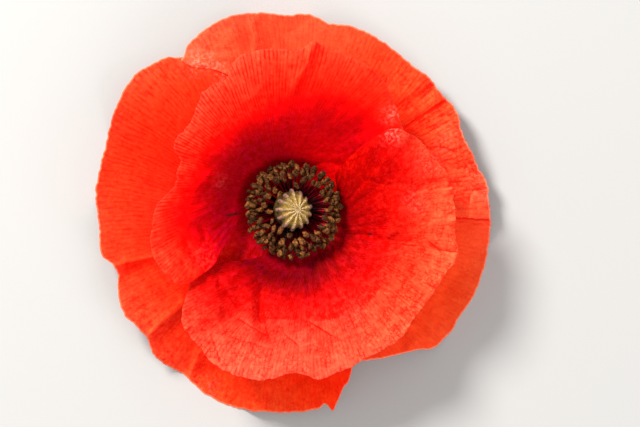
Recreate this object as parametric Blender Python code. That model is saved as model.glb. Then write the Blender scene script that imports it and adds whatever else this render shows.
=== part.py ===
"""Field poppy flower, picked just under its head and lying face up.

Two outer and two inner petals stand round a receptacle on a short cut stub. A collar of stamens and a
pistil with a rayed stigma disc fill the middle. Lengths are in millimetres. Angles are in degrees and run
from +X round the flower's axis. The meshes are made in metres, and the flower's box is centred over the
origin.
"""

import math

import bpy
import numpy as np

MM = 0.001

# petals
THICKNESS = 0.6
ROWS = 10
COLUMNS = 36
CLAW_RADIUS = 3.0
LAP_FADE = (5.0, 8.5)  # distances between which a petal's lift over its neighbour sets in
SAG_FADE = (16.0, 38.0)  # distances between which an outer petal's droop sets in
MOST_SAG = 1.2
BELL = (35.0, 85.0)  # degrees off a petal's middle between which its crown profile gives way to its flank
RIPPLE = 0.45
RIPPLE_TURNS = (9, 17)
FOLD_WIDTH = 2.4
PETAL_ROUGHNESS = 0.45

# receptacle and the cut stub of the stalk, as (radius, height) from the cut up
STEM_SIDES = 20
STEM_PROFILE = [
    (0, 0), (1.3, 0), (1.25, 1.2), (1.4, 2.2), (2.1, 2.8), (2.6, 3.2), (2.6, 4.3), (2.2, 4.6), (0, 4.6),
]
STEM_COLOUR = (0.16, 0.26, 0.06)

# pistil, as (radius, height) up the ovary and over the rim of the stigma disc
RAYS = 13
SAMPLES_PER_RAY = 4
OVARY_PROFILE = [
    (0.95, 4.95), (1.05, 5.7), (2.1, 6.9), (3.1, 8.3), (3.75, 9.8), (3.95, 11), (3.85, 12), (3.6, 12.5),
]
RIM_RADIUS = 4.2
DISC_PROFILE = [(RIM_RADIUS, 12.9), (3.9, 13.25), (3.1, 13.5), (2.1, 13.7), (1.1, 13.85)]
DISC_SHAPE = (0.91, 0.15)  # share of the disc's round width left along X, and its shift along X
APEX_HEIGHT = 13.95
APEX_SHIFT = (0.2, 0.1)
RAY_HEIGHT = 0.3
SCALLOP = 0.05
LEAN = 22.0  # degrees that the disc leans towards +X
LEAN_PIVOT = 12.2
LEAN_FADE = (8.5, 12.5)  # heights up the ovary between which the lean sets in
PISTIL_COLOUR = (0.35, 0.36, 0.14)

# stamens
COLLAR_SIDES = 30
COLLAR_SECTION = [(1.35, 4.95), (2.75, 4.95), (2.6, 5.5), (1.45, 5.6)]
ROOT_HEIGHT = 5.3
ROOT_DEPTH = 0.05
ROOT_RADII = (1.7, 1.7, 2.15, 2.15, 2.5)
# number, distance from the axis and height of each ring of anthers, from the pistil outward
ANTHER_RINGS = [(16, 5.4, 12.7), (20, 6.3, 12.9), (23, 7.2, 12.4), (25, 8.0, 12.0), (24, 8.8, 11.4)]
TURN_SCATTER = 0.18
REACH_SCATTER = 0.25
RISE_SCATTER = 0.5
BEND_REACH = 0.6
BEND_RISE = 0.36
FILAMENT_WIDTH = 0.3
ANTHER_LENGTH = 1.4
ANTHER_WIDTH = 0.95
ANTHER_BELOW = 0.48
ANTHER_ABOVE = 0.32
STAMEN_SEED = 7
STAMEN_COLOUR = (0.2, 0.12, 0.06)

# Height of a petal over the surface at each distance from the axis.
OUTER_RISE = [(3, 3.2), (6, 4.2), (9, 5.2), (12, 6.2), (16, 7.2), (20, 7.8), (26, 7.4), (32, 6.2), (42, 3.4)]
INNER_FLANK = [
    (3, 4.3), (6, 6), (9, 7.8), (12, 9.8), (15, 11.8), (18, 13.6), (22, 15.6), (26, 17.2), (30, 18.4),
    (35, 19.4),
]
STEEP_CROWN = [
    (3, 4.3), (6, 6), (9, 8.2), (12, 11.6), (15, 15), (18, 17.8), (21, 19.7), (25, 21), (29, 21.6), (35, 22),
]
OPEN_CROWN = [
    (3, 4.3), (6, 5.8), (9, 7.4), (12, 9), (15, 10.6), (20, 12.9), (25, 14.6), (30, 15.8), (35, 16.5),
]

# Each petal has the direction of its middle, its two side edges as (distance, angle), its margin as
# (angle, distance), its profiles in the middle and at the flanks, its lift over a neighbour and its droop
# as (angle, height), and its folds as (x and y of the start, x and y of the end, height).
PETALS = {
    "petal_outer_upper": {
        "middle": 31,
        "low_side": [(3, -9), (9, -32), (14, -50), (20, -62), (27, -67), (31, -67.5)],
        "high_side": [
            (3, 71), (9, 80), (14, 92), (20, 102), (26, 110), (29.7, 115.5), (32, 119), (33.9, 123.2),
            (37.3, 126.9),
        ],
        "margin": [
            (-67.5, 31), (-65.5, 32.8), (-62.8, 33.7), (-56.6, 35.2), (-50.5, 36.8), (-44, 39.5),
            (-38.5, 40.1), (-32.9, 39.8), (-25, 40.3), (-17.4, 40.2), (-5.8, 39.8), (3, 39.3), (8.2, 39.2),
            (12.7, 38.1), (23.8, 37.2), (30.5, 38.3), (40, 37.9), (49.7, 37.7), (61.3, 38.3), (74.4, 38.6),
            (83.6, 39.2), (88, 39.6), (91, 39.2), (95.2, 39.8), (101.6, 40.6), (110.9, 40.9), (119.5, 39.8),
            (123.3, 39), (126.9, 37.3),
        ],
        "crown": OUTER_RISE,
        "flank": OUTER_RISE,
        "lap": [(-70, 1.2), (-55, 0.3), (95, 0.2), (115, 0.6), (127, 0.6)],
        "sag": [
            (-68, 1), (-45, -1), (-25, -7), (-5, -1), (15, 1.5), (35, 0.6), (55, 2), (75, 0.6), (93, -7),
            (110, -0.5), (127, 0.5),
        ],
        "folds": [(21.6, 16.2, 31.2, 21.6, -0.8), (32.4, -0.4, 40, -0.6, 1.2)],
        "colour": (0.9, 0.13, 0.03),
        "phase": 0.4,
    },
    "petal_outer_lower": {
        "middle": 208,
        "low_side": [(3, 168), (9, 150), (14, 134), (20, 120), (27, 113), (34, 113)],
        "high_side": [(3, 248), (9, 262), (13.5, 276), (20, 288), (26, 293), (30.5, 294)],
        "margin": [
            (113, 34), (117, 36), (122, 37.4), (126, 37.8), (129.9, 39.9), (133.8, 40.7), (142.4, 41.6),
            (150.8, 41), (161, 40), (171.4, 40), (183.5, 39.1), (188.8, 39.3), (194.2, 39), (197.4, 37.5),
            (201.8, 37.7), (205.9, 38.9), (211.4, 39.6), (221, 38.7), (226, 40.3), (237.3, 39.9),
            (242.9, 40.9), (253.7, 41.3), (264.9, 40.8), (277.2, 40.1), (280, 39.7), (281, 41),
            (282.4, 39.9), (285.5, 37.4), (288.7, 35.5), (291, 33.4), (294, 30.5),
        ],
        "crown": OUTER_RISE,
        "flank": OUTER_RISE,
        "lap": [(113, -0.6), (128, -0.6), (145, -0.1), (275, -0.1), (290, -1), (294, -1)],
        "sag": [
            (113, -0.3), (130, 0), (148, 1.5), (168, -7), (186, -1), (205, 1.5), (222, 0.6), (245, -7),
            (262, -1.5), (280, 1), (294, 1),
        ],
        "folds": [(-35.8, -11.2, -27.8, -9, 1), (-28.6, -24.2, -22, -18.6, 1)],
        "colour": (0.9, 0.11, 0.02),
        "phase": 1.9,
    },
    "petal_inner_upper": {
        "middle": 126,
        "low_side": [(3, 86), (4.5, 72), (6.5, 44), (8, 22), (9.5, 9), (13, 7), (18, 12), (22, 19), (26, 30)],
        "high_side": [
            (3, 166), (7, 178), (10.5, 188), (11.7, 193.8), (12.5, 199.6), (14.4, 205.5), (16.4, 210),
            (18.7, 214.5), (21.1, 215.3), (25, 215.3),
        ],
        "margin": [
            (30, 26), (38, 27.4), (46.2, 29.2), (52.8, 30.8), (61.2, 32), (71.2, 32.3), (78, 32.4),
            (82.8, 33.6), (87.5, 31.6), (94.7, 31.9), (103.5, 32.2), (111.7, 31.4), (115.9, 29.3),
            (123.7, 29.2), (128.1, 29), (136.8, 26.9), (144.2, 26.6), (148.8, 27), (152.9, 26.3),
            (156.1, 24.7), (164.5, 23.9), (170.4, 23.9), (177, 26.6), (187.4, 28), (192, 28.8), (204, 28.5),
            (209, 27.7), (213.5, 26.8), (215.3, 25),
        ],
        "crown": STEEP_CROWN,
        "flank": INNER_FLANK,
        "lap": [(5, -1), (45, -1), (70, 0), (190, 0), (205, 1), (216, 1)],
        "sag": [(5, 0), (216, 0)],
        "folds": [(1.8, 33, -1.2, 24.6, 2.1), (-21.5, -6.4, -17.8, -11.8, -1)],
        "colour": (0.85, 0.03, 0.02),
        "phase": 3.1,
    },
    "petal_inner_lower": {
        "middle": -52,
        "low_side": [
            (3, -92), (7, -108), (10.5, -122), (12.9, -130.6), (13.9, -134.4), (15.7, -139.4),
            (17.7, -143.3), (19.5, -145.5), (22, -147),
        ],
        "high_side": [
            (3, -12), (6, 0), (8.4, 8.6), (9.4, 20), (10.6, 36.4), (12.8, 41.8), (15.2, 42.6), (18.1, 43),
            (20.6, 42.5), (24.5, 40.5),
        ],
        "margin": [
            (-147, 22), (-146, 23.8), (-142.6, 25.8), (-139.3, 28.5), (-135.4, 30.8), (-131.2, 31.9),
            (-124.6, 32.8), (-117, 34.3), (-111.4, 34.6), (-106.1, 34.6), (-97.2, 33.7), (-91.1, 32.4),
            (-85.8, 32.7), (-81.9, 33.9), (-75.5, 33.5), (-63.9, 32.7), (-49.4, 33.2), (-41.7, 32.2),
            (-27.5, 32.5), (-21.4, 32.9), (-16.4, 34), (-10.5, 32.9), (-4.1, 32.2), (4.7, 32), (8, 33),
            (9.8, 32.6), (13.9, 31.3), (24.7, 29.2), (34.3, 27.3), (38.1, 26.2), (40.5, 24.5),
        ],
        "crown": OPEN_CROWN,
        "flank": INNER_FLANK,
        "lap": [(-150, -1), (-138, -1), (-120, 0), (-15, 0), (8, 1), (45, 1)],
        "sag": [(-150, 0), (45, 0)],
        "folds": [(-7, -15, -4.8, -25.6, -1), (13.4, -5, 25.6, -7.4, -0.9)],
        "colour": (0.88, 0.06, 0.03),
        "phase": 4.6,
    },
}


def smooth_step(x):
    """0 below 0, 1 above 1, and a smooth S between."""
    x = np.clip(x, 0.0, 1.0)
    return x * x * (3.0 - 2.0 * x)


def through(points, at):
    """The smooth curve through (position, value) points, read at other positions, with level ends. Each
    stretch is a cubic, whose slope at each point follows the points on both sides of it."""
    place, value = np.array(points, float).T
    at = np.clip(at, place[0], place[-1])
    slope = np.gradient(value, place)
    i = np.clip(np.searchsorted(place, at) - 1, 0, len(place) - 2)
    step = place[i + 1] - place[i]
    u = (at - place[i]) / step
    start = (2 * u**3 - 3 * u**2 + 1) * value[i] + (u**3 - 2 * u**2 + u) * step * slope[i]
    end = (3 * u**2 - 2 * u**3) * value[i + 1] + (u**3 - u**2) * step * slope[i + 1]
    return start + end


def fold(x, y, start_x, start_y, end_x, end_y, height):
    """A rounded ridge along a straight line, with faded ends, or a furrow where its height is negative."""
    along = np.array([end_x - start_x, end_y - start_y])
    length = np.hypot(*along)
    along = along / length
    run = (x - start_x) * along[0] + (y - start_y) * along[1]
    off = (y - start_y) * along[0] - (x - start_x) * along[1]
    beyond = np.maximum(0.0, np.maximum(-run, run - length))
    return height * np.exp(-((off / FOLD_WIDTH) ** 2) - (beyond / FOLD_WIDTH) ** 2)


def petal_height(petal, r, angle, margin_radius):
    """The height of a petal's middle surface: its profile, which changes from the crown to the flanks, with
    its lift over a neighbour, its droop, the ripple that grows to the margin, and its folds. It is never
    lower than half a thickness, where the petal lies on the surface."""
    bell = 1.0 - smooth_step((np.abs(angle - petal["middle"]) - BELL[0]) / (BELL[1] - BELL[0]))
    height = through(petal["flank"], r) * (1.0 - bell) + through(petal["crown"], r) * bell
    lap_share = smooth_step((r - LAP_FADE[0]) / (LAP_FADE[1] - LAP_FADE[0]))
    height = height + through(petal["lap"], angle) * lap_share
    sag_share = np.clip((r - SAG_FADE[0]) / (SAG_FADE[1] - SAG_FADE[0]), 0.0, MOST_SAG) ** 2
    height = height + through(petal["sag"], angle) * sag_share
    turn = np.radians(angle)
    waves = sum(np.sin(n * turn + petal["phase"] * n) for n in RIPPLE_TURNS)
    height = height + RIPPLE * waves * (r / margin_radius) ** 4
    for line in petal["folds"]:
        height = height + fold(r * np.cos(turn), r * np.sin(turn), *line)
    return np.maximum(height, THICKNESS / 2)


def petal_surface(petal):
    """A grid of points on a petal's middle surface. Rows run from the claw to the margin. Columns run
    across, and at each distance from the axis they share out the angle between the two side edges."""
    first, last = petal["margin"][0][0], petal["margin"][-1][0]
    across = np.linspace(0.0, 1.0, COLUMNS + 1)[None, :]
    outward = np.linspace(0.0, 1.0, ROWS + 1)[:, None]
    margin_radius = through(petal["margin"], first + (last - first) * across)
    r = CLAW_RADIUS + (margin_radius - CLAW_RADIUS) * outward
    low = through(petal["low_side"], r)
    high = through(petal["high_side"], r)
    angle = low + (high - low) * across
    height = petal_height(petal, r, angle, margin_radius)
    turn = np.radians(angle)
    return np.stack([r * np.cos(turn), r * np.sin(turn), height], axis=-1)


def normals(grid):
    """The upward unit normal at each point of a grid."""
    normal = np.cross(np.gradient(grid, axis=0), np.gradient(grid, axis=1))
    return normal / np.linalg.norm(normal, axis=-1, keepdims=True)


def shell(grid, thickness):
    """A closed sheet round a grid of points: the same triangles on both faces, and a strip round the edge.
    Where it lies on the surface its underside is flat."""
    offset = normals(grid) * thickness / 2
    top = grid + offset
    bottom = grid - offset
    lying = grid[..., 2] <= thickness / 2
    bottom[..., 2] = np.where(lying, 0.0, np.maximum(bottom[..., 2], 0.0))
    index = np.arange(grid[..., 0].size).reshape(grid.shape[:2])
    a, b = index[:-1, :-1].ravel(), index[:-1, 1:].ravel()
    c, d = index[1:, 1:].ravel(), index[1:, :-1].ravel()
    upper = np.concatenate([np.stack([a, d, c], 1), np.stack([a, c, b], 1)])
    lower = upper[:, ::-1] + index.size
    rim = np.concatenate([index[0, :], index[1:, -1], index[-1, -2::-1], index[-2:0:-1, 0]])
    ahead = np.roll(rim, -1)
    one_half = np.stack([rim, ahead, ahead + index.size], 1)
    other_half = np.stack([rim, ahead + index.size, rim + index.size], 1)
    points = np.concatenate([top.reshape(-1, 3), bottom.reshape(-1, 3)])
    return points, np.concatenate([upper, lower, one_half, other_half])


def circle(radius, height, sides):
    """Points of a level ring round the axis."""
    turn = np.arange(sides) * 2 * math.pi / sides
    return np.stack([radius * np.cos(turn), radius * np.sin(turn), np.full(sides, height)], 1)


def band(low, high, count):
    """The faces between two rings, given by the numbers of their first points."""
    i = np.arange(count)
    ahead = (i + 1) % count
    one_half = np.stack([low + i, low + ahead, high + ahead], 1)
    other_half = np.stack([low + i, high + ahead, high + i], 1)
    return np.concatenate([one_half, other_half])


def capped_rings(rings, bottom, top):
    """A closed mesh through rings of equal size, with a point at each end that closes it in a fan."""
    count = len(rings[0])
    points = np.concatenate([*rings, np.array([bottom, top])])
    faces = [band(k * count, (k + 1) * count, count) for k in range(len(rings) - 1)]
    i = np.arange(count)
    ahead = (i + 1) % count
    last = (len(rings) - 1) * count
    faces.append(np.stack([ahead, i, np.full(count, len(points) - 2)], 1))
    faces.append(np.stack([last + i, last + ahead, np.full(count, len(points) - 1)], 1))
    return points, np.concatenate(faces)


def stem_mesh():
    """The receptacle and stub, turned, from its profile."""
    rings = [circle(r, z, STEM_SIDES) for r, z in STEM_PROFILE[1:-1]]
    return capped_rings(rings, (0.0, 0.0, STEM_PROFILE[0][1]), (0.0, 0.0, STEM_PROFILE[-1][1]))


def leaned(points):
    """Points turned about a level line through the top of the ovary, the more the higher they lie."""
    share = smooth_step((points[:, 2] - LEAN_FADE[0]) / (LEAN_FADE[1] - LEAN_FADE[0]))
    turn = np.radians(LEAN) * share
    x, up = points[:, 0], points[:, 2] - LEAN_PIVOT
    leant_x = x * np.cos(turn) + up * np.sin(turn)
    leant_z = LEAN_PIVOT + up * np.cos(turn) - x * np.sin(turn)
    return np.stack([leant_x, points[:, 1], leant_z], 1)


def pistil_mesh():
    """The ovary, turned, under a stigma disc that leans to one side. The disc is a little narrower across its
    lean. Its rim is scalloped, and its rays are ridges that meet at an apex beside its middle."""
    sides = RAYS * SAMPLES_PER_RAY
    ray = 0.5 + 0.5 * np.cos(RAYS * np.arange(sides) * 2 * math.pi / sides)
    rings = [circle(r, z, sides) for r, z in OVARY_PROFILE]
    for r, z in DISC_PROFILE:
        inward = 1.0 - (r / RIM_RADIUS) ** 2
        ring = circle(r, z, sides)
        ring[:, :2] *= (1.0 + SCALLOP * (ray - 0.5))[:, None]
        ring[:, 0] = ring[:, 0] * DISC_SHAPE[0] + DISC_SHAPE[1]
        ring[:, :2] += np.array(APEX_SHIFT) * inward
        ring[:, 2] += RAY_HEIGHT * ray * smooth_step(4.0 * inward)
        rings.append(ring)
    apex = (APEX_SHIFT[0] + DISC_SHAPE[1], APEX_SHIFT[1], APEX_HEIGHT + RAY_HEIGHT)
    points, faces = capped_rings(rings, (0.0, 0.0, OVARY_PROFILE[0][1]), apex)
    return leaned(points), faces


def collar_mesh():
    """The low ring on the receptacle that the stamens grow from."""
    loops = len(COLLAR_SECTION)
    starts = [k * COLLAR_SIDES for k in range(loops)]
    faces = [band(starts[k], starts[(k + 1) % loops], COLLAR_SIDES) for k in range(loops)]
    return np.concatenate([circle(r, z, COLLAR_SIDES) for r, z in COLLAR_SECTION]), np.concatenate(faces)


def diamond(centre, one_half, other_half):
    """Four corners round a centre."""
    return np.array([centre + one_half, centre + other_half, centre - one_half, centre - other_half])


def stamen_mesh(root, bend, tip, twist):
    """One stamen: a four-sided rod through three places that widens into an anther lying across it."""
    up = np.array([0.0, 0.0, 1.0])
    outward = np.array([tip[0], tip[1], 0.0]) / math.hypot(tip[0], tip[1])
    sideways = np.cross(up, outward)
    long_way = outward * math.cos(twist) + sideways * math.sin(twist)
    short_way = np.cross(up, long_way)
    half = FILAMENT_WIDTH / 2
    rings = [
        diamond(root, outward * half, sideways * half),
        diamond(bend, outward * half, sideways * half),
        diamond(tip - up * ANTHER_BELOW, long_way * half, short_way * half),
        diamond(tip, long_way * ANTHER_LENGTH / 2, short_way * ANTHER_WIDTH / 2),
    ]
    return capped_rings(rings, root - up * ROOT_DEPTH, tip + up * ANTHER_ABOVE)


def stamen_places():
    """Root, bend, tip and twist of every stamen, ring by ring, with a seeded scatter."""
    scatter = np.random.default_rng(STAMEN_SEED)
    for ring, (count, radius, height) in enumerate(ANTHER_RINGS):
        for k in range(count):
            turn = 2 * math.pi * (k + ring / 2 + scatter.uniform(-TURN_SCATTER, TURN_SCATTER)) / count
            reach = radius + scatter.uniform(-REACH_SCATTER, REACH_SCATTER)
            rise = height + scatter.uniform(-RISE_SCATTER, RISE_SCATTER)
            way = np.array([math.cos(turn), math.sin(turn), 0.0])
            root = way * ROOT_RADII[ring]
            root[2] = ROOT_HEIGHT
            tip = way * reach
            tip[2] = rise
            bend = root + (tip - root) * [BEND_REACH, BEND_REACH, BEND_RISE]
            yield root, bend, tip, scatter.uniform(0.0, math.pi)


def material(name, colour, roughness):
    made = bpy.data.materials.new(name)
    made.use_nodes = True
    shader = made.node_tree.nodes["Principled BSDF"]
    shader.inputs["Base Color"].default_value = (*colour, 1.0)
    shader.inputs["Roughness"].default_value = roughness
    shader.inputs["Metallic"].default_value = 0.0
    return made


def mesh_object(name, points, faces, collection):
    """An object from points in millimetres, shaded smooth up to 40 degrees."""
    mesh = bpy.data.meshes.new(name)
    mesh.from_pydata((points * MM).tolist(), [], faces.tolist())
    mesh.shade_smooth()
    mesh.set_sharp_from_angle(angle=math.radians(40))
    made = bpy.data.objects.new(name, mesh)
    collection.objects.link(made)
    return made


def stamens_joined(collection):
    """The collar with every stamen joined to it by one union. The union skips any mesh that isn't closed."""
    collar = mesh_object("stamens", *collar_mesh(), collection)
    repeats = bpy.data.collections.new("stamen_repeats")
    collection.children.link(repeats)
    for place in stamen_places():
        mesh_object("stamen", *stamen_mesh(*place), repeats)
    union = collar.modifiers.new("union", "BOOLEAN")
    union.operation = "UNION"
    union.operand_type = "COLLECTION"
    union.collection = repeats
    union.solver = "MANIFOLD"
    evaluated = collar.evaluated_get(bpy.context.evaluated_depsgraph_get())
    collar.data = bpy.data.meshes.new_from_object(evaluated)
    collar.modifiers.clear()
    for one in list(repeats.objects):
        bpy.data.objects.remove(one, do_unlink=True)
    bpy.data.collections.remove(repeats)
    return collar


def centred(pieces):
    """Moves every piece so that the whole flower's box is centred over the origin."""
    corners = np.array([vertex.co[:2] for piece in pieces for vertex in piece.data.vertices])
    middle = (corners.min(axis=0) + corners.max(axis=0)) / 2
    for piece in pieces:
        piece.location = (-middle[0], -middle[1], 0.0)


def main():
    for old in list(bpy.data.objects):
        bpy.data.objects.remove(old, do_unlink=True)
    collection = bpy.context.scene.collection
    pieces = []
    for name, petal in PETALS.items():
        piece = mesh_object(name, *shell(petal_surface(petal), THICKNESS), collection)
        piece.data.materials.append(material(name, petal["colour"], PETAL_ROUGHNESS))
        pieces.append(piece)
    stem = mesh_object("stem", *stem_mesh(), collection)
    stem.data.materials.append(material("stem", STEM_COLOUR, 0.6))
    pistil = mesh_object("pistil", *pistil_mesh(), collection)
    pistil.data.materials.append(material("pistil", PISTIL_COLOUR, 0.6))
    stamens = stamens_joined(collection)
    stamens.data.materials.append(material("stamens", STAMEN_COLOUR, 0.7))
    centred([*pieces, stem, pistil, stamens])


main()
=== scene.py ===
import math

import bpy
import numpy as np
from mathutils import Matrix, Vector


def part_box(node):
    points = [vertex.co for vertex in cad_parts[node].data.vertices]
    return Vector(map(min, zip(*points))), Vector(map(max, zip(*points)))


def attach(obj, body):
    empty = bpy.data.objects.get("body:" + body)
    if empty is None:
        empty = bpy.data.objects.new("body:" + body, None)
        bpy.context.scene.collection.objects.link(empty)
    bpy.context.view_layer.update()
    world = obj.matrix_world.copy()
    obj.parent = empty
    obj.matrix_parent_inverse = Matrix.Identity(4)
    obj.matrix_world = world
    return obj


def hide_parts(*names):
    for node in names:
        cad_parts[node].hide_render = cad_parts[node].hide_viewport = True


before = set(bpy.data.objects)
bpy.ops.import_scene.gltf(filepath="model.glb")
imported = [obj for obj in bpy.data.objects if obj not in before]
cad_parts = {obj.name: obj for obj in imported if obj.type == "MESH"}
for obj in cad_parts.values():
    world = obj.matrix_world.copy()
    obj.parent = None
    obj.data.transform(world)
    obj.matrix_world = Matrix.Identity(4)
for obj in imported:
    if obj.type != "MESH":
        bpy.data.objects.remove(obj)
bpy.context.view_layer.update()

# Shapes are in millimetres, and in degrees from +X round the flower's own axis. Materials, lights and the camera
# are in metres.
MM = 0.001
STEM_LOW, STEM_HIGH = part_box("stem")
AXIS_X = 0.5 * (STEM_LOW[0] + STEM_HIGH[0]) / MM
AXIS_Y = 0.5 * (STEM_LOW[1] + STEM_HIGH[1]) / MM

# -------- numbers of the petals

# the sheet's thickness, where it starts from the axis, and its grid
SHEET, CLAW_RADIUS = 0.13, 3.0
ROWS, COLUMNS = 118, 400

# the form: over which distances from the axis, or degrees off the middle, each part of it comes in
LAP_FADE, SAG_FADE, BELL = (5.0, 8.5), (16.0, 38.0), (35.0, 85.0)
MOST_SAG = 1.2
RIPPLE, RIPPLE_TURNS = 0.45, (9, 17)
LIP_WIDTH, TUCK_WIDTH = 2.6, 3.0
SETTLE = 0.6

# notches of the margin: how deep, and for each size how many of them and its seed
NOTCH_DEPTH = 0.14
NOTCHES = [(75, 120), (165, 140)]

# the share to which the veins have fanned out, at distances from the axis
VEIN_FAN = [(3, 0.42), (9, 0.62), (14, 0.79), (20, 0.92), (27, 1.0), (42, 1.03)]

# pleats: height, number over half a turn, start of their noise, length, growth to the margin, seed
PLEATS = [(0.42, 21, 40, 15, 1.5, 0), (0.17, 55, 90, 9, 1, 20), (0.05, 130, 200, 6, 1, 40)]

# crumple: height and size of its creases, and seed; the height of its facets, their waves and the range of their
# lengths; how far and over what size it is warped; the size, mean, swing and limit of its patches; where it comes
# in from the axis; and its share at the side edges, with the share of the width over which it comes in there
CRUMPLE = [(0.9, 7.5, 80), (-0.6, 4.1, 81), (0.34, 2.1, 82), (-0.13, 1.15, 83)]
FACETS, FACET_WAVES, FACET_LENGTHS = 0.36, 7, (4.0, 9.0)
WARP, WARP_SIZE = 1.1, 4.5
PATCH_SIZE, PATCH_MEAN, PATCH_SWING, MOST_PATCH = 9.0, 0.75, 0.8, 1.5
CRUMPLE_FADE = (7.0, 21.0)
EDGE_SHARE, EDGE_FADE = 0.4, 0.06

# sharp creases, whose lines and facets are painted light and shade and also raise the sheet: half width of their
# lines, and how far past and inside their ends they fade; width of the facets beside them, the distance at which
# these stop, and how high the lines stand
CREASE_LINE, CREASE_END, CREASE_INSIDE = 0.24, 0.9, 0.4
FACET_WIDTH, CREASE_REACH, CREASE_HEIGHT = 1.5, 3.5, 0.3

# distances from the axis over which the throat's shift of tone and its marks fade, and the open petal's shift comes
# in; and the tones over which the lining fades
THROAT_FADE, INMOST_FADE, OPEN_FADE = (10.0, 19.0), (16.0, 25.0), (15.0, 24.0)
LINING_FADE = (15.0, 24.0)

# how much a millimetre of relief shifts the tone, paler on raised places and darker in creases as painted light and
# shade, and within which heights
RELIEF_TONE, RELIEF_RANGE = 0.5, (-1.2, 0.8)
# streaks of tone: strength, number over half a turn, start of their noise, length, seed
TONE_STREAKS = [(0.7, 34, 60, 11, 160), (0.5, 90, 150, 5, 170)]

# what stands for 1 in the values that the materials read
REACH_SCALE, TONE_SCALE = 40.0, 60.0

# heights at distances from the axis
OUTER_RISE = [(3, 3.2), (6, 4.2), (9, 5.2), (12, 6.2), (16, 7.2), (20, 7.8), (26, 7.4), (32, 6.2), (42, 3.4)]
INNER_FLANK = [
    (3, 4.3), (6, 6), (9, 7.8), (12, 9.8), (15, 11.8), (18, 13.6), (22, 15.6), (26, 17.2), (30, 18.4),
    (35, 19.4),
]
STEEP_CROWN = [
    (3, 4.3), (6, 6), (9, 8.2), (12, 11.6), (15, 15), (18, 17.8), (21, 19.7), (25, 21), (29, 21.6), (35, 22),
]
OPEN_CROWN = [
    (3, 4.3), (6, 5.8), (9, 7.4), (12, 9), (15, 10.6), (20, 12.9), (25, 14.6), (30, 15.8), (35, 16.5),
]
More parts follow.
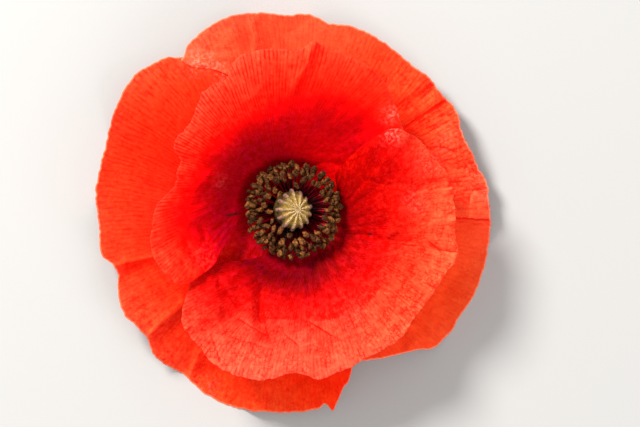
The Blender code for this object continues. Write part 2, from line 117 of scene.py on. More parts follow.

# A petal's numbers. Of its shape: the angle of its middle; the angles of its low and high side edges at distances
# from the axis; the distance of its margin at angles; the heights of its crown and its flanks; its lap over a
# neighbour and its sag, at angles; its folds, each x and y of the start, x and y of the end, height and half width;
# its creases, each x and y of the start, x and y of the end, and how much paler the line and the facets on its left
# and right are, painted as light and shade and also raised in the sheet; how far its high side is tucked down and
# its lip rolled; its pleats and crumple as shares of the usual; the phase of its ripple; and the seed of its random
# marks. Of its colour, at angles: how rough its marks are, which also scales the painted light and shade on its
# crests; its share of blue near the throat (pink) and outside (pink_rim); how far its tone is shifted outwards, in
# millimetres, in the throat (throat) and outside (paler), partly its own colour and partly painted light and shade;
# and how much its veins show (lined). Each of its glints, where painted sparkles stand for highlights, is x, y, half
# width and strength. A plain number holds at every angle.
PETALS = {
    "petal_outer_upper": dict(
        middle=31,
        low_side=[(3, -9), (9, -32), (14, -50), (20, -62), (27, -67), (31, -67.5)],
        high_side=[
            (3, 71), (9, 80), (14, 92), (20, 102), (26, 110), (29.7, 115.5), (32, 119), (33.9, 123.2),
            (35.4, 125.6), (37.3, 126.9),
        ],
        margin=[
            (-67.5, 31), (-65.5, 32.8), (-62.8, 33.7), (-56.6, 35.2), (-50.5, 36.8), (-44, 39.5), (-38.5, 40.1),
            (-32.9, 39.8), (-25, 40.3), (-17.4, 40.2), (-5.8, 39.8), (3, 39.3), (8.2, 39.2), (12.7, 38.1),
            (17.6, 37.8), (23.8, 37.2), (30.5, 38.3), (40, 37.9), (44.2, 38.2), (49.7, 37.7), (55.6, 37.8),
            (61.3, 38.3), (74.4, 38.6), (78.9, 38.3), (83.6, 39.2), (88, 39.6), (91, 39.2), (95.2, 39.8),
            (101.6, 40.6), (110.9, 40.9), (115.8, 40.4), (119.5, 39.8), (123.3, 39), (125.5, 37.9), (126.9, 37.3),
        ],
        crown=OUTER_RISE, flank=OUTER_RISE,
        lap=[(-70, 1.2), (-55, 0.3), (95, 0.2), (112, 0.5), (127, 0.4)],
        sag=[
            (-68, 1), (-45, -1), (-25, -7), (-5, -1), (15, 1.5), (35, 0.6), (55, 2), (75, 0.6), (93, -7),
            (110, -0.5), (127, -0.1),
        ],
        folds=[
            (21.6, 16.2, 31.2, 21.6, -0.55, 1.3), (21, 21, 28.8, 25.2, -0.35, 0.9),
            (32.4, -0.4, 40, -0.6, 0.5, 1.6), (-7.6, 31, -7.9, 40, 0.4, 0.8), (29.4, -17, 35.4, -18.6, 0.25, 0.8),
            (23.4, -23.4, 27.6, -26.4, 0.25, 0.8),
        ],
        creases=[
            (21.8, 16.3, 29.8, 21.8, -0.35, 0.4, -0.2), (21, 21, 25.4, 24.6, -0.25, 0.1, 0),
            (26, 15, 30.5, 17.4, -0.2, 0, 0.3), (26.5, 12.4, 30, 12.7, -0.25, 0, 0),
            (30, 12.7, 33, 11.6, -0.2, 0.1, 0), (28.5, 10.2, 35.5, 10, -0.15, 0, 0),
            (29.6, 5.1, 33, 6, -0.15, 0, 0.1), (35.2, 1.8, 35.9, 4, -0.2, 0, 0.35),
            (35.9, 4, 38.9, 4.3, -0.1, 0, 0.25), (35, -1.4, 35.5, 3.9, 0, 0, 0.3),
            (32.4, -1.55, 39.3, -2, -0.7, 0.3, -0.1), (-21.8, 30.4, -13.4, 27, 0, 0.4, 0),
        ],
        tuck=0.55, lip=0.2, pleat=1, crumple=0.6, phase=0.4, seed=11,
        rough=[(-70, 0.6), (-40, 0.6), (-18, 0.6), (-7, 0.65), (2, 1.4), (50, 1.3), (80, 0.7), (127, 0.9)],
        pink=1,
        pink_rim=[(-70, 0.65), (-8, 0.68), (6, 0.95), (20, 0.85), (50, 0.75), (80, 0.9), (127, 0.95)],
        throat=0,
        paler=[
            (-70, 1.5), (-50, 3.5), (-30, 5), (-12, 5.5), (-5, 4.5), (8, 5.5), (20, 3), (40, -1), (75, -1.5),
            (95, 0), (112, 2.5), (127, 2.5),
        ],
        lined=1,
        glints=[
            (-19, 29.5, 2.6, 1), (-15, 28.5, 2.2, 0.7), (31.5, 15, 2.5, 0.3), (29, 11, 2.5, 0.3),
            (38.4, 2.6, 1, 0.6),
        ],
    ),
    "petal_outer_lower": dict(
        middle=208,
        low_side=[(3, 168), (9, 150), (14, 134), (20, 120), (27, 113), (34, 113)],
        high_side=[(3, 248), (9, 262), (13.5, 276), (20, 288), (26, 293), (30.5, 294)],
        margin=[
            (113, 34), (117, 36), (122, 37.4), (126, 37.8), (129.9, 39.9), (133.8, 40.7), (137.5, 41.5),
            (142.4, 41.6), (150.8, 41), (161, 40), (166, 39.8), (171.4, 40), (177.1, 39.8), (183.5, 39.1),
            (188.8, 39.3), (194.2, 39), (197.4, 37.5), (201.8, 37.7), (205.9, 38.9), (211.4, 39.6), (216, 39.1),
            (221, 38.7), (226, 40.3), (237.3, 39.9), (242.9, 40.9), (247.8, 41.3), (253.7, 41.3), (264.9, 40.8),
            (277.2, 40.1), (280, 39.7), (281, 41), (282.4, 39.9), (285.5, 37.4), (288.7, 35.5), (291, 33.4),
            (294, 30.5),
        ],
        crown=OUTER_RISE, flank=OUTER_RISE,
        lap=[(113, -0.35), (128, -0.35), (145, -0.1), (275, -0.1), (290, -1), (294, -1)],
        sag=[
            (113, -0.3), (130, 0), (148, 1.5), (168, -7), (186, -1), (205, 1.5), (222, 0.6), (245, -7), (262, -1.5),
            (280, 1), (294, 1),
        ],
        folds=[
            (-35.8, -11.2, -27.8, -9, 0.8, 1.4), (-28.6, -24.2, -22, -18.6, 0.8, 1.4),
            (-20.4, -33, -17.2, -27, 0.5, 1),
        ],
        creases=[
            (-35.2, -11.2, -28, -9.4, -0.15, 0.3, -0.15), (-28.4, -24.8, -22.2, -18.5, -0.1, 0.35, -0.15),
            (-20.7, -33.2, -18.6, -28.6, -0.1, 0.4, -0.25), (-30.8, -19.6, -27, -20.3, -0.12, 0, 0.1),
        ],
        tuck=0, lip=0.2, pleat=0.9, crumple=0.4, phase=1.9, seed=12,
        rough=[(113, 0.95), (150, 0.9), (180, 0.9), (196, 1), (215, 1.5), (250, 1.5), (275, 1.2), (294, 1.2)],
        pink=1,
        pink_rim=[(113, 0.95), (230, 0.95), (250, 0.7), (270, 0.55), (294, 0.55)],
        throat=0,
        paler=[
            (113, 4), (128, 2.5), (150, -1), (185, -2), (215, 3), (235, 3), (247, 0.5), (266, 3), (285, -3.5),
            (294, -3.5),
        ],
        lined=[(113, 0.9), (190, 0.85), (205, 0.5), (225, 0.3), (260, 0.3), (294, 0.5)],
        glints=[(-20, 29, 2, 0.5), (-14, 27.5, 2, 0.6), (-17, -35.5, 2, 0.4)],
    ),
    "petal_inner_upper": dict(
        middle=126,
        low_side=[(3, 86), (4.5, 72), (6.5, 44), (8, 22), (9.5, 9), (13, 7), (18, 12), (22, 19), (26, 30)],
        high_side=[
            (3, 166), (7, 178), (10.5, 188), (11.7, 193.8), (12.5, 199.6), (14.4, 205.5), (16.4, 210),
            (18.7, 214.5), (21.1, 215.3), (25, 215.3),
        ],
        margin=[
            (30, 26), (38, 27.4), (46.2, 29.2), (52.8, 30.8), (61.2, 32), (71.2, 32.3), (77.5, 32.4), (80.5, 33),
            (82.8, 33.6), (85, 32.6), (87.5, 31.6), (94.7, 31.9), (103.5, 32.2), (111.7, 31.4), (115.9, 29.3),
            (123.7, 29.2), (128.1, 29), (132, 28), (136.8, 26.9), (144.2, 26.6), (148.8, 27), (152.9, 26.3),
            (156.1, 24.7), (164.5, 23.9), (170.4, 23.9), (177, 26.6), (187.4, 28), (192, 28.8), (204, 28.5),
            (209, 27.7), (213.5, 26.8), (215.3, 25),
        ],
        crown=STEEP_CROWN, flank=INNER_FLANK,
        lap=[(5, -1), (45, -1), (70, 0), (190, 0), (205, 1), (216, 1)],
        sag=0,
        folds=[
            (4.2, 33.4, 0.2, 24.4, 0.95, 1.4), (-21.5, -6.4, -17.8, -11.8, -0.8, 1.1),
            (-17.8, -4.6, -15.4, -7.8, -0.4, 0.8), (1.8, 9, 9.4, 9.2, -0.3, 0.7),
        ],
        creases=[
            (4.6, 33, 0.6, 24, -0.1, -0.4, 0.15), (-21.4, -5.8, -19.8, -10.2, -0.35, 0.15, 0),
            (-20, -8.8, -17.4, -12.4, -0.25, 0.1, 0), (-13.2, -2.4, -16, -9.4, 0, 0.2, 0),
        ],
        tuck=0.3, lip=1.1, pleat=0.9, crumple=0.55, phase=3.1, seed=13,
        rough=[(5, 1.4), (110, 1.3), (150, 1.6), (190, 1.6), (216, 2.4)],
        pink=[(5, 0.6), (100, 0.9), (190, 1.1), (216, 1.3)],
        pink_rim=[(5, 0.6), (80, 0.8), (110, 0.9), (190, 0.9), (216, 0.85)],
        throat=[(5, 9), (50, 9), (70, 7.5), (90, 5.5), (110, 2), (130, -0.5), (150, 0), (190, -1), (216, 0)],
        paler=[
            (5, -2), (40, -3.4), (65, -3), (85, -1.8), (95, -1), (110, 1.2), (150, 1.5), (170, 0), (186, -2),
            (203, 1), (216, 1),
        ],
        lined=[(5, 0.5), (60, 0.7), (90, 1), (180, 1), (203, 0.45), (216, 0.4)],
        glints=[(-14.3, 5.6, 1.2, 0.25), (-18, -9.5, 2.5, 0.2), (19.7, 19, 1.8, 0.6)],
    ),
    "petal_inner_lower": dict(
        middle=-52,
        low_side=[
            (3, -92), (7, -108), (10.5, -122), (12.9, -130.6), (13.9, -134.4), (15.7, -139.4), (17.7, -143.3),
            (19.5, -145.5), (22, -147),
        ],
        high_side=[
            (3, -12), (6, 0), (8.4, 8.6), (9.4, 20), (10.6, 36.4), (12.8, 41.8), (15.2, 42.6), (18.1, 43),
            (20.6, 42.5), (22.8, 41), (24.5, 40.5),
        ],
        margin=[
            (-147, 22), (-146, 23.8), (-142.6, 25.8), (-139.3, 28.5), (-135.4, 30.8), (-131.2, 31.9),
            (-124.6, 32.8), (-117, 34.3), (-111.4, 34.6), (-106.1, 34.6), (-97.2, 33.7), (-91.1, 32.4),
            (-85.8, 32.7), (-81.9, 33.9), (-75.5, 33.5), (-69.9, 33.2), (-63.9, 32.7), (-58.1, 33), (-49.4, 33.2),
            (-41.7, 32.2), (-33.4, 32.3), (-27.5, 32.5), (-21.4, 32.9), (-16.4, 34), (-10.5, 32.9), (-4.1, 32.2),
            (0.3, 32.3), (4.7, 32), (8, 33), (9.8, 32.6), (13.9, 31.3), (18.9, 30.1), (24.7, 29.2), (29.4, 28.5),
            (34.3, 27.3), (38.1, 26.2), (40.5, 24.5),
        ],
        crown=OPEN_CROWN, flank=INNER_FLANK,
        lap=[(-150, -1), (-138, -1), (-120, 0), (-15, 0), (8, 1), (45, 1)],
        sag=0,
        folds=[
            (-14.8, -13.8, -11.4, -19.2, -0.5, 0.9), (-7, -15, -4.8, -25.6, -0.8, 1.2),
            (-10.4, -21.2, -6.4, -24, 0.5, 1.2), (-5.2, -21.6, -1.6, -21.6, -0.3, 0.7),
            (7.4, -18, 10.4, -24, -0.4, 0.8), (13.4, -5, 25.6, -7.4, -0.7, 1.1),
            (27.2, -6.4, 32.2, -8.2, -0.4, 0.9), (19, -0.2, 19.6, -5.6, 0.4, 1.2), (15.4, 5, 32.2, 5.8, -0.3, 0.9),
        ],
        creases=[
            (-14.6, -14.2, -12.8, -16.9, -0.45, 0.1, 0), (-12.8, -16.9, -11.4, -18.9, -0.45, 0.1, 0),
            (-6.9, -14.6, -4.9, -25.4, -0.35, -0.1, -0.35), (-10.5, -21.8, -6.2, -24.4, -0.35, 0.45, 0),
            (-5.2, -21.5, -0.6, -21.6, -0.2, 0, 0.2), (3.2, -22.2, 7.9, -24.9, -0.45, 0.4, 0),
            (4.2, -22.2, 9.6, -21.3, -0.1, -0.35, 0.3), (5.2, -20.8, 10.6, -17.4, 0, 0.3, -0.3),
            (9, -18.8, 12.6, -16.6, -0.25, 0.1, -0.2), (14.2, -19.8, 17.5, -15.4, 0.1, -0.3, 0.35),
            (-1.6, -24.6, 1, -26.8, -0.25, 0.25, 0), (1.4, -26.9, 4.6, -26.1, 0.3, 0.1, 0),
            (-12.6, -25, -4, -27.8, -0.15, 0.1, 0), (-16.2, -24.6, -14.4, -30, -0.2, 0.15, 0),
            (18.5, -6.6, 24.5, -7.1, -0.4, 0.1, 0), (27, -6.2, 28.9, -7.9, -0.4, 0.1, 0),
            (28.9, -7.9, 32.4, -8.3, -0.4, 0, 0.2), (27.8, 0.2, 27.7, -2.3, 0, 0.3, 0),
            (27.8, -2.3, 32, -2.3, -0.1, 0.15, -0.1), (24, 3.7, 31.5, 4.6, -0.15, -0.25, 0.3),
            (15, 5, 22.5, 3.6, -0.25, 0.15, 0), (12, -1.6, 14, -4.2, -0.3, -0.2, 0.3),
            (17.8, 16, 22.4, 15.2, 0, 0, 0.5), (11, 9.4, 16, 12, -0.1, 0.4, -0.2),
        ],
        tuck=1.1, lip=0.4, pleat=0.9, crumple=0.75, phase=4.6, seed=14,
        rough=[(-150, 1), (-110, 0.8), (-70, 0.75), (-40, 1), (-10, 0.9), (10, 1), (45, 1.25)],
        pink=[(-150, 1), (-120, 1), (-75, 1.1), (-35, 0.9), (0, 0.5), (25, 0.2), (45, 0.2)],
        pink_rim=[(-150, 0.95), (-75, 0.95), (-45, 0.8), (45, 0.75)],
        throat=[(-150, 0), (-75, 0), (-50, 3), (-20, 4), (10, 4), (45, 5)],
        paler=[
            (-150, -4), (-128, -3.5), (-112, -0.5), (-90, 0), (-30, -0.5), (-10, -1), (10, -2.5), (25, -4.5),
            (45, -5),
        ],
        lined=[(-150, 1), (-45, 0.8), (-15, 0.5), (10, 0.3), (45, 0.25)],
        glints=[
            (20, 15.3, 2, 0.9), (24.5, 1.6, 2, 0.5), (1, -24.8, 1.5, 0.3), (12, -20.5, 3, 0.25),
            (27, 9.5, 2.5, 0.35),
        ],
    ),
}


# -------- curves and noise


def smooth_step(x):
    """0 below 0, 1 above 1, and a smooth S between."""
    x = np.clip(x, 0.0, 1.0)
    return x * x * (3.0 - 2.0 * x)


def rising(x, start, end):
    """0 below the start, 1 above the end, and a smooth S between."""
    return smooth_step((x - start) / (end - start))


def through(points, at):
    """The smooth curve through (position, value) points, read at other positions, with level ends. Each
    stretch is a cubic, whose slope at each point follows the points on both sides of it. A plain number gives
    itself everywhere."""
    if not isinstance(points, list):
        return np.full(np.shape(at), float(points))
    place, value = np.array(points, float).T
    at = np.clip(at, place[0], place[-1])
    slope = np.gradient(value, place)
    i = np.clip(np.searchsorted(place, at) - 1, 0, len(place) - 2)
    step = place[i + 1] - place[i]
    u = (at - place[i]) / step
    start = (2 * u**3 - 3 * u**2 + 1) * value[i] + (u**3 - 2 * u**2 + u) * step * slope[i]
    end = (3 * u**2 - 2 * u**3) * value[i + 1] + (u**3 - u**2) * step * slope[i + 1]
    return start + end


def noise(u, v, seed):
    """Smooth random heights from about -1 to 1: a seeded slope at each whole-number point of the plane, and the
    heights of the four nearest slopes blended by an S curve each way."""
    turn = np.random.default_rng(seed).uniform(0.0, 2 * math.pi, (256, 256))
    iu, iv = np.floor(u).astype(int), np.floor(v).astype(int)
    fu, fv = u - iu, v - iv

    def corner(du, dv):
        way = turn[(iu + du) % 256, (iv + dv) % 256]
        return np.cos(way) * (fu - du) + np.sin(way) * (fv - dv)

    su, sv = smooth_step(fu), smooth_step(fv)
    near = corner(0, 0) * (1 - su) + corner(1, 0) * su
    far = corner(0, 1) * (1 - su) + corner(1, 1) * su
    return 1.6 * (near * (1 - sv) + far * sv)


def ridged(u, v, seed):
    """Random ground whose smooth slopes meet in sharp crests: a constant less the size of the noise there."""
    return 0.35 - np.abs(noise(u, v, seed))


def facets(x, y, seed):
    """Flat facets between straight sharp folds, as in crumpled paper: seeded zigzag waves in random directions,
    each fading in and out by patches of noise."""
    scatter = np.random.default_rng(seed)
    total = 0.0 * x
    for k in range(FACET_WAVES):
        turn, length, start = scatter.uniform((0.0, FACET_LENGTHS[0], 0.0), (math.pi, FACET_LENGTHS[1], 1.0))
        run = (x * math.cos(turn) + y * math.sin(turn)) / length + start + 0.3 * noise(x / 9, y / 9, seed + k)
        zigzag = 4.0 * np.abs(run % 1.0 - 0.5) - 1.0
        patch = smooth_step(0.3 + 1.1 * noise(x / 8 + 3.7 * k, y / 8, seed + 10))
        total = total + patch * zigzag * length / FACET_WAVES
    return total


def along_line(x, y, line):
    """For each point, its run along a line that starts at the first x and y and ends at the second, its distance
    to the left of it, and how far it lies beyond its ends."""
    start_x, start_y, end_x, end_y = line
    along = np.array([end_x - start_x, end_y - start_y])
    length = np.hypot(*along)
    along = along / length
    run = (x - start_x) * along[0] + (y - start_y) * along[1]
    off = (y - start_y) * along[0] - (x - start_x) * along[1]
    return run, off, np.maximum(0.0, np.maximum(-run, run - length))


def in_plan(r, angle):
    """x and y of points at distances from the axis and angles."""
    return r * np.cos(np.radians(angle)), r * np.sin(np.radians(angle))


# -------- petals


def fold(x, y, *numbers):
    """A crease along a straight line with faded ends, or a furrow where its height is negative: a rounded swell,
    and on it a sharp crest that falls off by a constant share each way."""
    *line, height, width = numbers
    run, off, beyond = along_line(x, y, line)
    off = off + 0.25 * noise(run / 1.7, 0.5, 300)
    swell = np.exp(-((off / width) ** 2))
    crest = np.exp(-np.abs(off) / (0.5 * width))
    return height * (swell + 0.6 * crest) * np.exp(-((beyond / (1.2 * width)) ** 2))


def crease_marks(x, y, creases):
    """The lines and facets of the sharp creases, in the amounts by which crease_shade paints the petal paler or
    darker there as light and shade; petal_grid raises the sheet by them. Along each straight crease, with faded
    ends, lies a thin line, and the flat facets to its left and right fall off evenly with the distance from it."""
    total = 0.0 * x
    for *line, centre, left, right in creases:
        run, off, beyond = along_line(x, y, line)
        off = off + 0.12 * noise(run / 1.3, 0.5, 301)
        side = np.where(off > 0.0, left, right) * smooth_step(np.abs(off) / CREASE_LINE)
        mark = centre * np.exp(-((off / CREASE_LINE) ** 2)) + side * np.exp(-np.abs(off) / FACET_WIDTH)
        total = total + mark * np.exp(-((beyond / CREASE_END) ** 2))
    return total


def petal_form(petal, r, angle, margin_radius):
    """The height of a petal's middle surface: its profile, which changes from the crown to the flanks, with
    its lift over a neighbour, its droop, the ripple that grows to the margin, and a lip that rolls outwards
    along the margin."""
    flank = rising(np.abs(angle - petal["middle"]), *BELL)
    height = through(petal["flank"], r) * flank + through(petal["crown"], r) * (1.0 - flank)
    height = height + through(petal["lap"], angle) * rising(r, *LAP_FADE)
    sag_share = np.clip((r - SAG_FADE[0]) / (SAG_FADE[1] - SAG_FADE[0]), 0.0, MOST_SAG) ** 2
    height = height + through(petal["sag"], angle) * sag_share
    turn = np.radians(angle)
    waves = sum(np.sin(n * turn + petal["phase"] * n) for n in RIPPLE_TURNS)
    height = height + RIPPLE * waves * (r / margin_radius) ** 4
    lip = np.clip(1.0 - (margin_radius - r) / LIP_WIDTH, 0.0, 1.0)
    return height - petal["lip"] * lip**2


def vein_place(petal, r, angle):
    """Which vein a point lies on, from 0 to 1 over half a turn: its angle off the petal's middle, over the
    share to which the veins have fanned out at its distance."""
    return 0.5 + (angle - petal["middle"]) / through(VEIN_FAN, r) / 180.0


def petal_crinkle(petal, across, r, angle, margin_radius):
    """The fine relief of a thin creased sheet, in millimetres: pleats that run out along the veins, in three
    sizes, and a crumple of sharp creases in four sizes, both stronger towards the margin, and the crumple
    stronger in some patches than in others. The petal's own long folds are added."""
    seed = petal["seed"]
    out = r / margin_radius
    vein = vein_place(petal, r, angle)
    pleats = 0.0 * r
    for high, number, start, length, growth, draw in PLEATS:
        pleats = pleats + high * noise(vein * number + start, r / length, seed + draw) * out**growth
    x, y = in_plan(r, angle)
    x = x + WARP * noise(x / WARP_SIZE, y / WARP_SIZE, seed + 60)
    y = y + WARP * noise(x / WARP_SIZE, y / WARP_SIZE, seed + 61)
    patch = PATCH_MEAN + PATCH_SWING * noise(x / PATCH_SIZE, y / PATCH_SIZE, seed + 70)
    crumple = 0.0 * r
    for high, size, draw in CRUMPLE:
        crumple = crumple + high * ridged(x / size, y / size, seed + draw)
    crumple = crumple + FACETS * facets(x, y, seed + 90)
    edge = rising(np.minimum(across, 1.0 - across), 0.0, EDGE_FADE)
    fade = rising(r, *CRUMPLE_FADE) * (EDGE_SHARE + (1.0 - EDGE_SHARE) * edge)
    relief = petal["pleat"] * pleats + petal["crumple"] * crumple * np.clip(patch, 0.0, MOST_PATCH) * fade
    return relief + sum(fold(x, y, *numbers) for numbers in petal["folds"])


def averaged(values, rows, columns):
    """The mean over a window of neighbours each way: running sums along both axes, less the sums before."""
    for axis, half in ((0, rows), (1, columns)):
        edges = [(half + 1, half) if axis == a else (0, 0) for a in (0, 1)]
        total = np.cumsum(np.pad(values, edges, mode="edge"), axis=axis)
        count = 2 * half + 1
        ahead, behind = [slice(None)] * 2, [slice(None)] * 2
        ahead[axis], behind[axis] = slice(count, None), slice(None, -count)
        values = (total[tuple(ahead)] - total[tuple(behind)]) / count
    return values


def petal_grid(petal):
    """A grid of points on a petal's middle surface, from the claw out and across between its side edges. The
    margin is finely notched, and the sheet settles softly where it comes down on the surface."""
    seed = petal["seed"]
    first, last = petal["margin"][0][0], petal["margin"][-1][0]
    across = np.linspace(0.0, 1.0, COLUMNS + 1)[None, :]
    outward = np.linspace(0.0, 1.0, ROWS + 1)[:, None]
    margin_radius = through(petal["margin"], first + (last - first) * across)
    for number, draw in NOTCHES:
        margin_radius = margin_radius + NOTCH_DEPTH * noise(across * number, 0.5, seed + draw)
    r = CLAW_RADIUS + (margin_radius - CLAW_RADIUS) * outward
    low, high = through(petal["low_side"], r), through(petal["high_side"], r)
    angle = low + (high - low) * across
    across = np.broadcast_to(across, r.shape)
    x, y = in_plan(r, angle)
    relief = petal_crinkle(petal, across, r, angle, margin_radius)
    relief = relief + CREASE_HEIGHT * crease_marks(x, y, petal["creases"])
    height = petal_form(petal, r, angle, margin_radius) + relief
    inside = np.radians(high - angle) * r
    height = height - petal["tuck"] * np.clip(1.0 - inside / TUCK_WIDTH, 0.0, 1.0) ** 2
    height = 0.5 * (height + np.sqrt(height**2 + SETTLE**2)) + SHEET / 2
    return np.stack([x, y, height], axis=-1), petal_values(petal, r, angle, relief, margin_radius)


def petal_values(petal, r, angle, relief, margin_radius):
    """What the petal's material reads at each point of its grid. The tone is the distance from the axis, shifted in
    the throat and further out, made paler on crests and darker in creases as painted light and shade, and streaked
    along the veins. The crest is how far a point stands out from its neighbours; the material paints the petal paler
    there and darker in hollows, as light and shade. A glint, where painted sparkles stand for highlights, falls off
    as a bell round its place."""

    def here(key):
        return through(petal[key], angle)

    inmost = 1.0 - rising(r, *INMOST_FADE)
    rough = here("rough") * (1.0 + inmost)
    crest = (relief - averaged(averaged(relief, 2, 2), 1, 1)) * rough
    shift = here("paler") + RELIEF_TONE * np.clip(relief, *RELIEF_RANGE)
    tone = r + shift * rising(r, *OPEN_FADE)
    tone = tone + here("throat") * (1.0 - rising(r, *THROAT_FADE))
    vein = vein_place(petal, r, angle)
    for strength, number, start, length, draw in TONE_STREAKS:
        tone = tone + strength * noise(vein * number + start, r / length, petal["seed"] + draw)
    x, y = in_plan(r, angle)
    glint = 0.0 * r
    for at_x, at_y, wide, share in petal["glints"]:
        glint = glint + share * np.exp(-((x - at_x) ** 2 + (y - at_y) ** 2) / wide**2)
    return {
        "veins": (vein, r / REACH_SCALE),
        "from_edge": margin_radius - r,
        "tone": tone / TONE_SCALE,
        "crest": crest,
        "rough": rough,
        "pink": here("pink") * inmost + here("pink_rim") * (1.0 - inmost),
        "glint": glint,
        "lined": here("lined") * (1.0 - 0.5 * inmost),
    }


# -------- meshes


def sheet(grid, thickness):
    """A closed sheet round a grid: quads on both faces, half the thickness off along the upward normals, and a
    strip round the edge. Gives points and faces."""
    normal = np.cross(np.gradient(grid, axis=0), np.gradient(grid, axis=1))
    offset = unit(normal) * thickness / 2
    index = np.arange(grid[..., 0].size).reshape(grid.shape[:2])
    a, b = index[:-1, :-1].ravel(), index[:-1, 1:].ravel()
    c, d = index[1:, 1:].ravel(), index[1:, :-1].ravel()
    upper = np.stack([a, d, c, b], 1)
    lower = upper[:, ::-1] + index.size
    rim = np.concatenate([index[0, :], index[1:, -1], index[-1, -2::-1], index[-2:0:-1, 0]])
    ahead = np.roll(rim, -1)
    edge = np.stack([rim, ahead, ahead + index.size, rim + index.size], 1)
    points = np.concatenate([(grid + offset).reshape(-1, 3), (grid - offset).reshape(-1, 3)])
    return points, np.concatenate([upper, lower, edge])


def closed_tube(rows, sides):
    """Faces of a tube closed at both ends: quads between rows of points that each close on themselves, and a fan
    round a pole at each end. The points of the two poles come after the rows. A triangle of a fan repeats its
    last point."""
    k, i = np.meshgrid(np.arange(rows - 1), np.arange(sides), indexing="ij")
    ahead = (i + 1) % sides
    quads = np.stack([k * sides + i, k * sides + ahead, (k + 1) * sides + ahead, (k + 1) * sides + i], -1)
    i, ahead = i[0], ahead[0]
    last, low, high = (rows - 1) * sides, np.full(sides, rows * sides), np.full(sides, rows * sides + 1)
    fans = [np.stack([ahead, i, low, low], 1), np.stack([last + i, last + ahead, high, high], 1)]
    return np.concatenate([quads.reshape(-1, 4), *fans])


def repeated(points, faces):
    """One mesh from many copies: points is (copies, points each, 3), and each copy has the same faces."""
    step = np.arange(len(points))[:, None, None] * points.shape[1]
    return points.reshape(-1, 3), (faces[None] + step).reshape(-1, faces.shape[1])


def unit(v):
    """Vectors brought to length 1."""
    return v / np.linalg.norm(v, axis=-1, keepdims=True)


def around(sides):
    """Evenly spaced angles round one turn."""
    return np.arange(sides) * 2 * math.pi / sides


def placed(name, data):
    """A new object of the scene."""
    made = bpy.data.objects.new(name, data)
    bpy.context.scene.collection.objects.link(made)
    return made


def piece(name, points, faces, material, slot, *nodes):
    """A finished piece from points in millimetres off the flower's axis, riding on the flower's one body."""
    faces = [face[:3] if face[2] == face[3] else face for face in faces.tolist()]
    mesh = bpy.data.meshes.new(name)
    mesh.from_pydata(((points + [AXIS_X, AXIS_Y, 0.0]) * MM).tolist(), [], faces)
    mesh.shade_smooth()
    mesh.materials.append(material)
    made = placed(name, mesh)
    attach(made, "root")
    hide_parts(*nodes)
    return made


def give_uv(mesh, u, v):
    """A UV map from a value pair at each vertex."""
    layer = mesh.uv_layers.new(name="veins")
    corner = np.empty(len(mesh.loops), dtype=np.int32)
    mesh.loops.foreach_get("vertex_index", corner)
    layer.data.foreach_set("uv", np.stack([u[corner], v[corner]], 1).astype(np.float32).ravel())


def give_values(mesh, name, values):
    """A number at each vertex, for a material to read."""
    layer = mesh.attributes.new(name, "FLOAT", "POINT")
    layer.data.foreach_set("value", values.astype(np.float32))


# -------- material building blocks


